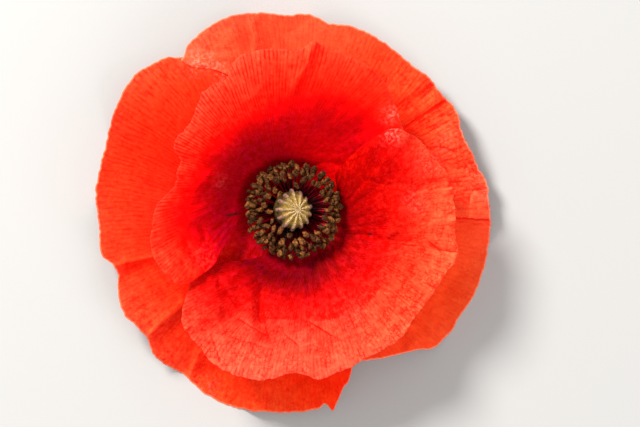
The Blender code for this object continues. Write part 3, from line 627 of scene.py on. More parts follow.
class Finish:
    """A material under construction: each method adds one node and gives back its output."""

    def __init__(self, name):
        self.material = bpy.data.materials.new(name)
        self.material.use_nodes = True
        self.tree = self.material.node_tree
        self.shader = self.tree.nodes["Principled BSDF"]
        self.output = self.tree.nodes["Material Output"]

    def put(self, socket, value):
        """Links a node's output to a socket, or sets the socket's own value."""
        if isinstance(value, bpy.types.NodeSocket):
            self.tree.links.new(value, socket)
        elif isinstance(value, tuple) and len(value) == 3 and socket.type == "RGBA":
            socket.default_value = (*value, 1.0)
        else:
            socket.default_value = value

    def node(self, kind, output=0, **inputs):
        """One output of a new node, with its inputs by name."""
        made = self.tree.nodes.new("ShaderNode" + kind)
        for name, value in inputs.items():
            self.put(made.inputs[name.replace("_", " ")], value)
        return made.outputs[output]

    def value(self, name):
        """A number that the mesh has at each vertex."""
        made = self.tree.nodes.new("ShaderNodeAttribute")
        made.attribute_name = name
        return made.outputs["Fac"]

    def math(self, operation, a, b=0.0):
        made = self.tree.nodes.new("ShaderNodeMath")
        made.operation = operation
        self.put(made.inputs[0], a)
        self.put(made.inputs[1], b)
        return made.outputs[0]

    def plus(self, a, b):
        return self.math("ADD", a, b)

    def less(self, a, b):
        return self.math("SUBTRACT", a, b)

    def times(self, *values):
        """The product of two or more values."""
        total = values[0]
        for value in values[1:]:
            total = self.math("MULTIPLY", total, value)
        return total

    def added(self, value, by, amount):
        """A value with an amount of another added."""
        return self.plus(value, self.times(by, amount))

    def between(self, value, low, high, to_low=0.0, to_high=1.0):
        """A value carried by a smooth step from one range to another, and held at its ends."""
        made = self.tree.nodes.new("ShaderNodeMapRange")
        made.interpolation_type = "SMOOTHSTEP"
        for socket, number in zip(made.inputs[:5], (value, low, high, to_low, to_high)):
            self.put(socket, number)
        return made.outputs[0]

    def blend(self, kind, factor, a, b):
        made = self.tree.nodes.new("ShaderNodeMix")
        made.data_type = "RGBA"
        made.blend_type = kind
        self.put(made.inputs[0], factor)
        self.put(made.inputs[6], a)
        self.put(made.inputs[7], b)
        return made.outputs[2]

    def ramp(self, factor, *colours):
        """Colours along a value: each its place, then its red, green and blue."""
        made = self.tree.nodes.new("ShaderNodeValToRGB")
        bar = made.color_ramp
        while len(bar.elements) < len(colours):
            bar.elements.new(0.5)
        for element, (place, *colour) in zip(bar.elements, colours):
            element.position = place
            element.color = (*colour, 1.0)
        self.put(made.inputs[0], factor)
        return made.outputs[0]

    def vector(self, x, y, z=0.0):
        return self.node("CombineXYZ", X=x, Y=y, Z=z)

    def parts(self, vector):
        """The X, Y and Z of a vector."""
        made = self.tree.nodes.new("ShaderNodeSeparateXYZ")
        self.put(made.inputs[0], vector)
        return made.outputs

    def grain(self, vector, scale, detail=2.0):
        return self.node("TexNoise", Vector=vector, Scale=scale, Detail=detail)

    def bump(self, height, distance):
        return self.node("Bump", Height=height, Distance=distance)

    def object_place(self):
        return self.node("TexCoord", 3)

    def surface(self, colour, normal, roughness, gloss=0.5):
        """Sets the shader: its colour and normal, and a roughness and gloss that are the same everywhere."""
        self.put(self.shader.inputs["Base Color"], colour)
        self.put(self.shader.inputs["Normal"], normal)
        self.shader.inputs["Roughness"].default_value = roughness
        self.shader.inputs["Specular IOR Level"].default_value = gloss


# -------- the petals' material

# shares of the reach over which all marks and the forks of the veins come in, and the mottles fade
MARKS_FADE, FORKS_FADE, MOTTLES_FADE = (0.12, 0.34), (0.3, 0.5), (0.4, 0.7)
# long veins over half a turn, and the half width of each as a share of the space between them
VEINS, VEIN_WIDTH = 60.0, 0.17
# short strokes and hairs: how many over half a turn, and how many over the reach
STROKES = (230.0, 20.0)
HAIRS = (430.0, 50.0)
# cells of the net over half a turn and over the reach, and the width of its furrows as a share of a cell
NET_ACROSS, NET_ALONG, NET_WIDTH = 124.0, 50.0, 0.15
# mottles, specks (painted highlights), sparkles (painted highlights) and waves of a crease line to the metre
MOTTLES, SPECKS, SPARKLES, WOBBLES = 1000.0, 1500.0, 1500.0, 800.0
# the shade is 0 where a petal has its plain colour; it holds both the petal's own marks and painted light and shade.
# How much a crest's height and a crease change it, as painted light and shade, its lowest value, and the share of it
# that the red takes
CREST_SHADE, CREASE_SHADE = 1.6, 2.6
DARKEST, RED_SHARE = -0.8, 0.12
# the width of the pale rim, a painted highlight along the margin, in millimetres
PAINTED_RIM_WIDTH = 0.45
# the colour of the painted sparkles that stand for highlights at the glints
PAINTED_SPARKLE_COLOUR = (0.95, 0.36, 0.27)
POLLEN_COLOUR = (0.03, 0.006, 0.008)
SHEEN_COLOUR = (1.0, 0.3, 0.15, 1.0)
# the share of the light that comes through the sheet, and what it keeps of the petal's colour
SEE_THROUGH, THROUGH_COLOUR = 0.25, (1.0, 0.5, 0.45)
MARK_DEPTH = 0.00004


def crease_shade(f, creases):
    """The painted light and shade at a petal's sharp creases: how much paler or darker it is there, with the same
    lines and facets as in crease_marks. Each crease turns the object's own coordinates so that it runs along X from
    0 to its length; a ramp across it holds the line and the facets on both sides, and smooth steps fade its ends."""
    place = f.object_place()
    wobble = f.times(f.less(f.grain(place, WOBBLES, 1.0), 0.5), 0.6)
    near, half = 0.5 * CREASE_LINE / CREASE_REACH, 0.5 * FACET_WIDTH / CREASE_REACH
    total = 0.0
    for start_x, start_y, end_x, end_y, line, left, right in creases:
        length = math.hypot(end_x - start_x, end_y - start_y)
        turned = f.tree.nodes.new("ShaderNodeMapping")
        turned.vector_type = "TEXTURE"
        turned.inputs["Location"].default_value = ((start_x + AXIS_X) * MM, (start_y + AXIS_Y) * MM, 0.0)
        turned.inputs["Rotation"].default_value = (0.0, 0.0, math.atan2(end_y - start_y, end_x - start_x))
        turned.inputs["Scale"].default_value = (MM, MM, MM)
        f.put(turned.inputs["Vector"], place)
        run, off, _ = f.parts(turned.outputs[0])
        across = f.plus(f.times(f.plus(off, wobble), 0.5 / CREASE_REACH), 0.5)
        start = f.between(run, -CREASE_END, CREASE_INSIDE)
        end = f.between(run, length - CREASE_INSIDE, length + CREASE_END, 1.0, 0.0)
        levels = [
            (0.0, 0.0), (0.5 - half, 0.4 * right), (0.5 - near, right), (0.5, 1.5 * line),
            (0.5 + near, left), (0.5 + half, 0.4 * left), (1.0, 0.0),
        ]
        profile = f.ramp(across, *((at, *(0.5 + 0.5 * level,) * 3) for at, level in levels))
        total = f.plus(total, f.times(f.less(profile, 0.5), f.times(start, end)))
    return total


def petal_net(f, across, reach, sway):
    """A fine swaying net whose cells are drawn out along the veins: its furrows, and a random number for each
    cell."""
    cells = f.tree.nodes.new("ShaderNodeTexVoronoi")
    edges = f.tree.nodes.new("ShaderNodeTexVoronoi")
    edges.feature = "DISTANCE_TO_EDGE"
    place = f.vector(f.added(sway, across, NET_ACROSS), f.added(sway, reach, NET_ALONG))
    for voronoi in (cells, edges):
        voronoi.inputs["Scale"].default_value = 1.0
        voronoi.inputs["Randomness"].default_value = 0.8
        f.put(voronoi.inputs["Vector"], place)
    pick = f.tree.nodes.new("ShaderNodeSeparateColor")
    f.put(pick.inputs[0], cells.outputs["Color"])
    return f.between(edges.outputs["Distance"], 0.0, NET_WIDTH, 1.0, 0.0), pick.outputs[0]


def petal_finish(name, colours, veins, strokes, mottling, net, specks, rim, edge, lining):
    """A thin silky petal. Its colour follows the tone, in millimetres from the axis. It is darker along long veins
    that fork towards the margin and in short strokes beside them. It is darker round the cells of a fine net,
    painted shade in its fine creases, and paler on crests and in small specks on them, painted light and highlights.
    The lining is how strongly its veins show in the throat. At its glints, painted sparkles stand for highlights.
    The very edge is painted pale as a highlight, and light shines through."""
    f = Finish(name)
    uv = f.tree.nodes.new("ShaderNodeUVMap")
    uv.uv_map = "veins"
    across, reach, _ = f.parts(uv.outputs[0])

    def streaks(count, length, detail=0.0):
        """Grain drawn out along the veins."""
        return f.grain(f.vector(f.times(across, count), f.times(reach, length)), 1.0, detail)

    def lines(start):
        """Fine lines evenly spaced across the petal, which sway a little."""
        sway = f.times(streaks(30.0, 4.0), 0.7)
        turn = f.math("FRACT", f.plus(f.plus(f.times(across, VEINS), sway), start))
        return f.between(f.math("ABSOLUTE", f.less(turn, 0.5)), 0.0, VEIN_WIDTH, 1.0, 0.0)

    outer = f.between(reach, *MARKS_FADE)
    forks = f.times(lines(0.5), f.between(reach, *FORKS_FADE))
    breaks = f.between(streaks(60.0, 12.0, 1.0), 0.34, 0.6, 0.25, 1.0)
    long_veins = f.times(f.plus(lines(0.0), forks), breaks, f.value("lined"))
    short = streaks(*STROKES, 1.5)
    dark, light = f.between(short, 0.34, 0.5, 1.0, 0.0), f.between(short, 0.52, 0.7)
    inner = f.between(reach, *MOTTLES_FADE, 1.0, 0.35)
    mottle = f.times(f.less(f.grain(f.object_place(), MOTTLES), 0.5), inner)
    furrow, pick = petal_net(f, across, reach, f.times(streaks(30.0, 14.0, 1.0), 1.6))
    furrow = f.times(furrow, f.between(streaks(40.0, 18.0, 1.0), 0.35, 0.6))
    dots = f.node("TexVoronoi", Vector=f.object_place(), Scale=SPECKS)
    speck_highlight = f.times(f.between(dots, 0.1, 0.42, 1.0, 0.0), f.between(f.value("crest"), 0.0, 0.12))

    # each mark, and how much paler it makes the petal: veins, strokes, hairs, mottles and cells are its own colour,
    # the net's furrows are painted shade in fine creases, and the specks on crests are painted highlights
    marks = [
        (mottle, 2.0 * mottling), (f.times(dark, f.value("lined")), -0.26 * strokes), (light, 0.15 * strokes),
        (f.less(streaks(*HAIRS, 1.0), 0.5), 0.7), (furrow, -0.3 * net), (f.less(pick, 0.5), 0.25 * net),
        (speck_highlight, 0.45 * specks),
    ]
    shade = veined = f.times(long_veins, -0.26 * veins)
    for mark, amount in marks:
        shade = f.added(shade, mark, amount)
    shade = f.times(shade, f.value("rough"))
    # painted light and shade: paler on crests of the relief and darker in its hollows, and the lines and facets of
    # the sharp creases
    shade = f.added(shade, f.value("crest"), CREST_SHADE)
    shade = f.added(shade, crease_shade(f, PETALS[name]["creases"]), CREASE_SHADE)
    shade = f.math("MAXIMUM", f.times(shade, outer), DARKEST)

    tone = f.value("tone")
    inmost = f.between(tone, LINING_FADE[0] / TONE_SCALE, LINING_FADE[1] / TONE_SCALE, lining, 0.0)
    even = f.added(f.added(1.0, shade, RED_SHARE), veined, inmost)
    strong = f.plus(shade, 1.0)
    shaded = f.vector(even, strong, f.times(strong, f.value("pink")))
    colour = f.blend("MULTIPLY", 1.0, f.ramp(tone, *colours), shaded)
    # painted highlight: pale pink sparkles mixed into the colour round the glints
    painted_sparkle = f.between(f.grain(f.object_place(), SPARKLES, 3.0), 0.42, 0.7, 0.0, 0.4)
    colour = f.blend("MIX", f.times(painted_sparkle, f.value("glint")), colour, PAINTED_SPARKLE_COLOUR)
    # painted highlight: a pale rim along the margin
    colour = f.blend("MIX", f.between(f.value("from_edge"), 0.0, PAINTED_RIM_WIDTH, rim, 0.0), colour, edge)
    colour = f.blend("MIX", f.value("pollen"), colour, POLLEN_COLOUR)
    swell = f.less(f.less(0.0, f.times(furrow, net)), f.times(f.plus(long_veins, dark), 0.6))
    normal = f.bump(f.times(swell, outer), MARK_DEPTH)
    f.surface(colour, normal, roughness=0.55, gloss=0.06)
    f.shader.inputs["Specular Tint"].default_value = SHEEN_COLOUR
    shining = f.node("BsdfTranslucent", Color=f.blend("MULTIPLY", 1.0, colour, THROUGH_COLOUR), Normal=normal)
    both = f.tree.nodes.new("ShaderNodeMixShader")
    both.inputs[0].default_value = SEE_THROUGH
    f.put(both.inputs[1], f.shader.outputs[0])
    f.put(both.inputs[2], shining)
    f.put(f.output.inputs["Surface"], both.outputs[0])
    return f.material


def by_tone(*places):
    """Colours along a petal: tone in millimetres, then red, green and blue."""
    return [(tone / TONE_SCALE, *colour) for tone, *colour in places]


OUTER_COLOURS = by_tone(
    (6, 0.2, 0.0003, 0.005), (12, 0.5, 0.001, 0.006), (20, 0.92, 0.008, 0.002), (28, 0.94, 0.016, 0.003),
    (34, 0.94, 0.025, 0.005), (39, 0.94, 0.038, 0.01), (46, 0.94, 0.07, 0.025), (56, 0.95, 0.15, 0.07),
)
WARM_COLOURS = by_tone(
    (6, 0.2, 0.0003, 0.005), (12, 0.5, 0.001, 0.006), (20, 0.92, 0.012, 0.003), (26, 0.94, 0.028, 0.009),
    (32, 0.94, 0.045, 0.015), (39, 0.94, 0.062, 0.022), (46, 0.94, 0.09, 0.042), (56, 0.95, 0.18, 0.1),
)
# the stops nearest the base are lighter than those at 12.5 and 15: painted light that lifts the shade the stamens
# cast there
CUP_COLOURS = by_tone(
    (8, 0.55, 0.0002, 0.007), (10.8, 0.5, 0.0002, 0.007), (12.5, 0.36, 0.0002, 0.006),
    (15, 0.41, 0.0002, 0.006), (18, 0.6, 0.0002, 0.004), (20.5, 0.85, 0.001, 0.002), (24, 0.94, 0.015, 0.006),
    (29, 0.94, 0.036, 0.015), (36, 0.94, 0.07, 0.034), (46, 0.95, 0.14, 0.08),
)
# the stops nearest the base are lighter than the one at 13: painted light that lifts the shade the stamens cast
# there
BOWL_COLOURS = by_tone(
    (8, 0.26, 0.0002, 0.006), (11, 0.24, 0.0002, 0.006), (13, 0.16, 0.0002, 0.0035), (15, 0.26, 0.0002, 0.0028),
    (17, 0.46, 0.0008, 0.0025), (19, 0.62, 0.004, 0.0035), (21, 0.74, 0.011, 0.007), (24, 0.88, 0.033, 0.016),
    (30, 0.94, 0.074, 0.035), (37, 0.94, 0.118, 0.062), (47, 0.95, 0.22, 0.14),
)
# patches of dark pollen: x, y, half length, half width, slope and strength
POLLEN = [(-12.0, -0.9, 1.5, 0.33, 0.12, 0.85), (15.4, -4.8, 0.45, 0.28, 0.0, 0.75)]

# A petal's look: its colours, the strength of its marks, of which the net's furrows are painted shade and the specks
# painted highlights, its rim, a painted highlight along the margin, with the rim's colour, and its lining.
LOOKS = {
    "petal_outer_upper": dict(
        colours=WARM_COLOURS, veins=1.0, strokes=0.6, mottling=0.7, net=0.8, specks=1.0,
        rim=0.75, edge=(0.95, 0.3, 0.18), lining=0.4,
    ),
    "petal_outer_lower": dict(
        colours=OUTER_COLOURS, veins=1.6, strokes=0.9, mottling=1.3, net=0.7, specks=0.6,
        rim=0.7, edge=(0.95, 0.26, 0.13), lining=0.2,
    ),
    "petal_inner_upper": dict(
        colours=CUP_COLOURS, veins=2.0, strokes=0.6, mottling=1.2, net=0.2, specks=0.6,
        rim=0.1, edge=(0.95, 0.15, 0.08), lining=0.4,
    ),
    "petal_inner_lower": dict(
        colours=BOWL_COLOURS, veins=1.9, strokes=0.8, mottling=2.2, net=1.7, specks=1.0,
        rim=0.08, edge=(0.95, 0.18, 0.1), lining=0.1,
    ),
}


def pollen_dust(x, y):
    """How much dark pollen lies at each place: each patch is a flat-topped mound over an ellipse that climbs a
    little along its length."""
    total = 0.0 * x
    for at_x, at_y, long, wide, climb, strength in POLLEN:
        along = x - at_x
        total = total + strength * np.exp(-((along / long) ** 2 + ((y - at_y - climb * along) / wide) ** 2) ** 2)
    return np.clip(total, 0.0, 1.0)


def petals():
    """The four petals, with the values that their materials read. Pollen lies on the upper face only."""
    for name, petal in PETALS.items():
        grid, values = petal_grid(petal)
        points, faces = sheet(grid, SHEET)
        made = piece(name + "_blade", points, faces, petal_finish(name, **LOOKS[name]), name, name)
        give_uv(made.data, *(np.tile(part.ravel(), 2) for part in values.pop("veins")))
        for key, value in values.items():
            give_values(made.data, key, np.tile(value.ravel(), 2))
        dust = pollen_dust(points[:, 0], points[:, 1])
        dust[len(dust) // 2:] = 0.0
        give_values(made.data, "pollen", dust)


# -------- stamens

# x and y of the anthers that stand alone enough to be placed one by one
INNER_ANTHERS = [
    (0.7, 4.9), (-2.5, 2.9), (-5, 2.7), (-4.9, 4.4), (-3.5, 3.9), (-1.8, 6.1), (-3.4, 5.9), (-6.3, 1.9),
    (-5.7, 0.9), (-4.7, -0.3), (-4.1, -2.3), (-3.8, -3.7), (-2.5, -4), (-0.7, -5), (-2.1, -6.4), (2.6, -4.9),
    (1.8, -6.2), (3.2, -7.2), (-0.4, -7.4), (5, -4.6), (4.8, -5.8), (6.6, -4.1), (5, 5), (7.6, 1.6),
    (6.9, -0.2), (7.5, 3.7), (6.4, -1.6), (-6.5, -2.2), (-5.3, -3.2), (-4.4, -5.2), (-6.4, 4.2), (-5.2, 5.8),
    (2.2, 6.0), (3.6, 6.6), (-0.6, 6.8), (5.9, 3.4),
]
# number and distance from the axis of each outer ring of anthers
OUTER_ANTHERS = [(26, 6.8), (36, 7.6), (42, 8.4), (38, 9.1)]
# the open sectors between them: first and last angle, nearest and furthest distance
OPEN_SECTORS = [(76, 83, 5.0, 10.0), (54, 62, 5.0, 7.9), (-22, 46, 4.0, 6.7), (88, 91, 8.6, 10.0)]
CLEARANCE = 0.75
# height of the anthers at distances from the axis, and how much more the inner ones have
ANTHER_CROWN = [(4, 12.0), (5.4, 12.6), (6.5, 12.6), (7.5, 12.1), (8.6, 11.3), (9.4, 10.6)]
INNER_RISE = 0.3

# how much the anthers' heights scatter, the range of their tilt from upright, the spread in radians of their way
# from straight outwards, and the ranges of their size and lightness
HEIGHTS, TILTS, SWING = (-0.7, 0.5), (35, 82), 0.55
SIZES, LIGHTNESS = (0.9, 1.18), (0.15, 1.0)
# an anther's half sizes, its rows and sides, the depth of the groove between its lobes, and its unevenness
ANTHER_LONG, ANTHER_WIDE, ANTHER_DEEP = 0.92, 0.56, 0.47
ANTHER_STEPS, ANTHER_SIDES = 7, 10
GROOVE, GROOVE_WIDTH, LUMPS, CRUMBLE = 0.5, 0.34, 0.2, 0.055

# the distances from the axis and the height at which filaments start, and their radius and how much it tapers
FILAMENT_ROOTS, FILAMENT_HEIGHT = (1.7, 2.5), 5.3
FILAMENT_RADIUS, FILAMENT_TAPER = 0.13, 0.04
FILAMENT_STEPS, FILAMENT_SIDES = 7, 5
# how far along each way a filament's middle lies from its root to its anther
FILAMENT_BEND = [0.5, 0.5, 0.34]


def anther_places():
    """The place of every anther in plan: the inner ones as listed, then seeded rings that leave out the open
    sectors and whatever comes too near a listed one."""
    scatter = np.random.default_rng(7)
    places = []
    for k, (count, radius) in enumerate(OUTER_ANTHERS):
        turn = (np.arange(count) + 0.5 * k + scatter.uniform(-0.28, 0.28, count)) * 2 * math.pi / count
        reach = radius + scatter.uniform(-0.3, 0.3, count)
        places.append(np.stack([reach * np.cos(turn), reach * np.sin(turn)], 1))
    inner, outer = np.array(INNER_ANTHERS, float), np.concatenate(places)
    reach, angle = np.hypot(*outer.T), np.degrees(np.arctan2(outer[:, 1], outer[:, 0]))
    keep = np.linalg.norm(outer[:, None] - inner[None], axis=2).min(axis=1) > CLEARANCE
    for low, high, near, far in OPEN_SECTORS:
        keep &= ~((angle > low) & (angle < high) & (reach > near) & (reach < far))
    return np.concatenate([inner, outer[keep]])


def stamens():
    """The anthers, each on a filament that springs from the collar round the foot of the pistil."""
    places = anther_places()
    count = len(places)
    scatter = np.random.default_rng(21)
    reach = np.linalg.norm(places, axis=1)
    way = np.concatenate([places / reach[:, None], np.zeros((count, 1))], 1)
    height = through(ANTHER_CROWN, reach) + scatter.uniform(*HEIGHTS, count)
    height[: len(INNER_ANTHERS)] += INNER_RISE
    middle = np.concatenate([places, height[:, None]], 1)
    long_way = anthers(middle, way, scatter)
    filaments(middle - 0.25 * long_way, way, scatter)


def anthers(middle, way, scatter):
    """Two lobes along one axis, tipped between upright and level, mostly pointing outwards. Gives their axes."""
    count = len(middle)
    up = np.array([0.0, 0.0, 1.0])
    tip = np.radians(scatter.uniform(*TILTS, count))[:, None]
    swing = scatter.normal(0.0, SWING, count)[:, None]
    flat = way * np.cos(swing) + np.cross(up, way) * np.sin(swing)
    long_way = unit(flat * np.sin(tip) + up * np.cos(tip))
    twist = scatter.uniform(0, math.pi, count)[:, None]
    first = unit(np.cross(long_way, up + 0.01 * way))
    second = np.cross(long_way, first)
    wide_way = first * np.cos(twist) + second * np.sin(twist)
    deep_way = np.cross(long_way, wide_way)
    size = scatter.uniform(*SIZES, count)[:, None, None]

    along = np.linspace(0.04, 0.96, ANTHER_STEPS)[:, None]
    turn = around(ANTHER_SIDES)[None, :]
    groove = 1.0 - GROOVE * np.exp(-((np.cos(turn) / GROOVE_WIDTH) ** 2))
    lumps = scatter.uniform(0.0, 2 * math.pi, (count, 1, 1))
    lobe = groove * np.sin(math.pi * along) ** 0.4 * (1.0 + LUMPS * np.cos(11 * along + 2 * turn + lumps))
    long_share = np.broadcast_to(ANTHER_LONG * (2 * along - 1), lobe.shape)
    wide_share, deep_share = ANTHER_WIDE * np.cos(turn) * lobe, ANTHER_DEEP * np.sin(turn) * lobe
    skin = middle[:, None]
    for share, axis in ((long_share, long_way), (wide_share, wide_way), (deep_share, deep_way)):
        skin = skin + share.reshape(count, -1, 1) * size * axis[:, None]
    skin = skin + scatter.normal(0.0, CRUMBLE, skin.shape)
    poles = middle[:, None] + ANTHER_LONG * size * np.array([-1.0, 1.0])[None, :, None] * long_way[:, None]
    points, faces = repeated(np.concatenate([skin, poles], 1), closed_tube(ANTHER_STEPS, ANTHER_SIDES))
    made = piece("anthers", points, faces, anther_finish(), "stamens", "stamens")
    # painted shade: each anther's random lightness, darker in the groove between its lobes and towards its ends
    light = scatter.uniform(*LIGHTNESS, count)[:, None, None] * (lobe / lobe.max()) ** 1.6
    shade = np.concatenate([light.reshape(count, -1), np.zeros((count, 2))], 1)
    give_values(made.data, "shade", shade.ravel())
    return long_way


def filaments(end, way, scatter):
    """Curved threads from the collar to their anthers, each a parabola that runs outwards before it climbs."""
    count = len(end)
    root = way * scatter.uniform(*FILAMENT_ROOTS, count)[:, None]
    root[:, 2] = FILAMENT_HEIGHT
    bend = root + (end - root) * FILAMENT_BEND
    control = 2.0 * bend - 0.5 * (root + end)
    u = np.linspace(0.0, 1.0, FILAMENT_STEPS)[None, :, None]
    path = root[:, None] * (1 - u) ** 2 + 2 * control[:, None] * u * (1 - u) + end[:, None] * u**2
    run = unit(np.gradient(path, axis=1))
    one = unit(np.cross(run, np.cross([0.0, 0.0, 1.0], way)[:, None]))
    other = np.cross(run, one)
    turn = around(FILAMENT_SIDES)[None, None, :, None]
    ring = one[:, :, None] * np.cos(turn) + other[:, :, None] * np.sin(turn)
    radius = FILAMENT_RADIUS - FILAMENT_TAPER * u[..., None]
    tubes = (path[:, :, None] + ring * radius).reshape(count, -1, 3)
    ends = np.stack([path[:, 0], path[:, -1]], 1)
    points, faces = repeated(np.concatenate([tubes, ends], 1), closed_tube(FILAMENT_STEPS, FILAMENT_SIDES))
    piece("filaments", points, faces, filament_finish(), "stamens", "stamens")


def anther_finish():
    """Dry pollen sacs with painted light and shade on the lobes: olive brown in the groove and towards the ends,
    gold on the crests, each anther a little lighter or darker than the next."""
    f = Finish("anther")
    fine = f.grain(f.object_place(), 2600.0, 3.0)
    grains = f.between(fine, 0.36, 0.64, -0.17, 0.17)
    colour = f.ramp(
        f.plus(f.times(f.value("shade"), 0.8), grains),
        (0.0, 0.02, 0.006, 0.001), (0.3, 0.085, 0.028, 0.006), (0.6, 0.2, 0.07, 0.014), (1.0, 0.44, 0.2, 0.065),
    )
    f.surface(colour, f.bump(fine, 0.0002), roughness=0.8, gloss=0.1)
    return f.material


def filament_finish():
    """A dark wine-red thread, nearly black at its root, painted brighter and redder higher up and on one side of the
    flower, as painted light where the lamp falls on the inner side of the ring.
    """
    f = Finish("filament")
    place = f.object_place()
    x, _, z = f.parts(place)
    streak = f.grain(place, 1500.0)
    # painted light: brighter higher up and towards +X, where the lamp lights the inner side of the ring of filaments
    painted_light = f.times(f.between(z, 0.0065, 0.0105), f.between(x, -0.001, 0.004, 0.08, 1.0))
    painted_light = f.times(painted_light, f.between(streak, 0.3, 0.65, 0.5, 1.0))
    colour = f.ramp(
        painted_light,
        (0.0, 0.006, 0.0008, 0.002), (0.25, 0.035, 0.0015, 0.003), (0.5, 0.17, 0.003, 0.007),
        (1.0, 0.5, 0.01, 0.025),
    )
    f.surface(colour, f.bump(streak, 0.00005), roughness=0.45)
    return f.material


# -------- pistil

# height and radius of the ovary's profile
OVARY = [
    (4.95, 0.4), (4.95, 0.95), (5.7, 1.05), (6.9, 2.1), (8.3, 3.0), (9.8, 3.55), (11, 3.7), (12, 3.6),
    (12.5, 3.4),
]
# the lean in degrees, the height about which the top turns, and the heights over which the lean comes in
LEAN, LEAN_PIVOT, LEAN_FADE = 22.0, 12.2, (8.5, 12.5)
# the disc: its apex in plan, the height of its rim and of its dome above that, the drop of its edge and of its
# lobes, the depth of the notches between them and the unevenness of its skin
APEX, RIM_HEIGHT, DOME = (0.4, 0.1), 12.9, 1.1
EDGE_DROP, LOBE_DROP, LOBE_WIDTH, NOTCH, DISC_GRAIN = 0.5, 0.25, 0.5, 0.55, 0.07
# its rays: their height, half width at the apex, widening to the rim, and how much they sway and vary in width
RAY_HEIGHT, RAY_WIDTH, RAY_WIDENING, RAY_SWAY, RAY_UNEVEN = 0.4, 0.16, 0.19, 0.14, 0.05
# steps from each ray to the next, and from the apex to the rim
RAY_STEPS, DISC_STEPS = 18, 32
# direction and length of every ray, from the apex
RAYS = [
    (-178.9, 4.35), (-155.1, 4.25), (-127.1, 4.5), (-100.8, 4.35), (-72.8, 3.95), (-45.7, 3.85), (-18, 3.5),
    (10.4, 3.55), (44.5, 3.3), (74.2, 3.8), (103.5, 4.2), (129.9, 3.9), (154.6, 4.2),
]


def leaned(points):
    """Points turned about a level line through the top of the ovary, the more the higher they lie."""
    turn = np.radians(LEAN) * rising(points[:, 2], *LEAN_FADE)
    x, up = points[:, 0], points[:, 2] - LEAN_PIVOT
    leant_x = x * np.cos(turn) + up * np.sin(turn)
    leant_z = LEAN_PIVOT + up * np.cos(turn) - x * np.sin(turn)
    return np.stack([leant_x, points[:, 1], leant_z], 1)


def pistil():
    """The ovary is turned from its profile. The disc is a low dome round an apex, with 13 uneven rays: each is
    a straight velvety ridge of nearly even width, which ends in a rounded lobe beyond the rim. The ovary's
    top and the disc lean to one side."""
    count = len(RAYS)
    angle, length = np.array(RAYS + [(RAYS[0][0] + 360.0, RAYS[0][1])]).T
    number = np.arange(count * RAY_STEPS) / RAY_STEPS
    nearest = np.round(number)
    turn = np.radians(np.interp(number, np.arange(count + 1), angle))
    reach = np.interp(number, np.arange(count + 1), length)
    off = turn - np.radians(angle)[nearest.astype(int)]

    # share is how far out each row lies: two rows round the rim's edge, then rows inwards to the apex
    share = np.concatenate([[1.0, 1.02], np.linspace(1.0, 0.05, DISC_STEPS)])[:, None]
    top = np.minimum(1.0, np.arange(len(share)) / 2.0)[:, None]
    sway = RAY_SWAY * noise(share * 4.0, 7.3 * nearest[None, :], 31) * rising(share, 0.0, 0.3)
    side = np.abs(share * reach * np.sin(off) + sway)
    width = RAY_WIDTH + RAY_WIDENING * share + RAY_UNEVEN * noise(share * 6.0, 5.1 * nearest[None, :], 33)
    ridge = np.exp(-((side / width) ** 2))
    lobe = np.exp(-((side / LOBE_WIDTH) ** 4))
    radius = share * (reach - NOTCH * (1.0 - lobe) * rising(share, 0.6, 1.0))
    dome = RIM_HEIGHT + DOME * np.sqrt(np.clip(1.0 - (0.98 * np.minimum(share, 1.0)) ** 2, 0.0, 1.0))
    dome = dome + RAY_HEIGHT * (ridge - 0.35) * smooth_step((1.04 - share) / 0.12) * rising(share, 0.0, 0.2)
    dome = dome - EDGE_DROP * (1.0 - top) - LOBE_DROP * rising(share, 0.8, 1.0) * lobe
    dome = dome + DISC_GRAIN * noise(number[None, :] * 3.0, share * 9.0, 32) * top
    disc = np.stack([radius * np.cos(turn) + APEX[0], radius * np.sin(turn) + APEX[1], dome], -1)

    height, girth = (column[:, None] for column in np.array(OVARY).T)
    ovary = np.stack(np.broadcast_arrays(girth * np.cos(turn), girth * np.sin(turn), height), -1)
    poles = [[0, 0, OVARY[0][0]], [*APEX, RIM_HEIGHT + DOME]]
    points = np.concatenate([ovary.reshape(-1, 3), disc.reshape(-1, 3), poles])
    faces = closed_tube(len(OVARY) + len(share), len(turn))
    made = piece("seed_head", leaned(points), faces, pistil_finish(), "pistil", "pistil")
    below = np.zeros(ovary[..., 0].size)
    ray = np.exp(-((side / (width + 0.04)) ** 4)) * top
    outward = np.broadcast_to(share + 0.4 * (1.0 - top), side.shape)
    give_values(made.data, "ray", np.concatenate([below, ray.ravel(), [0.0, 1.0]]))
    give_values(made.data, "outward", np.concatenate([below + 1.5, outward.ravel(), [1.5, 0.0]]))


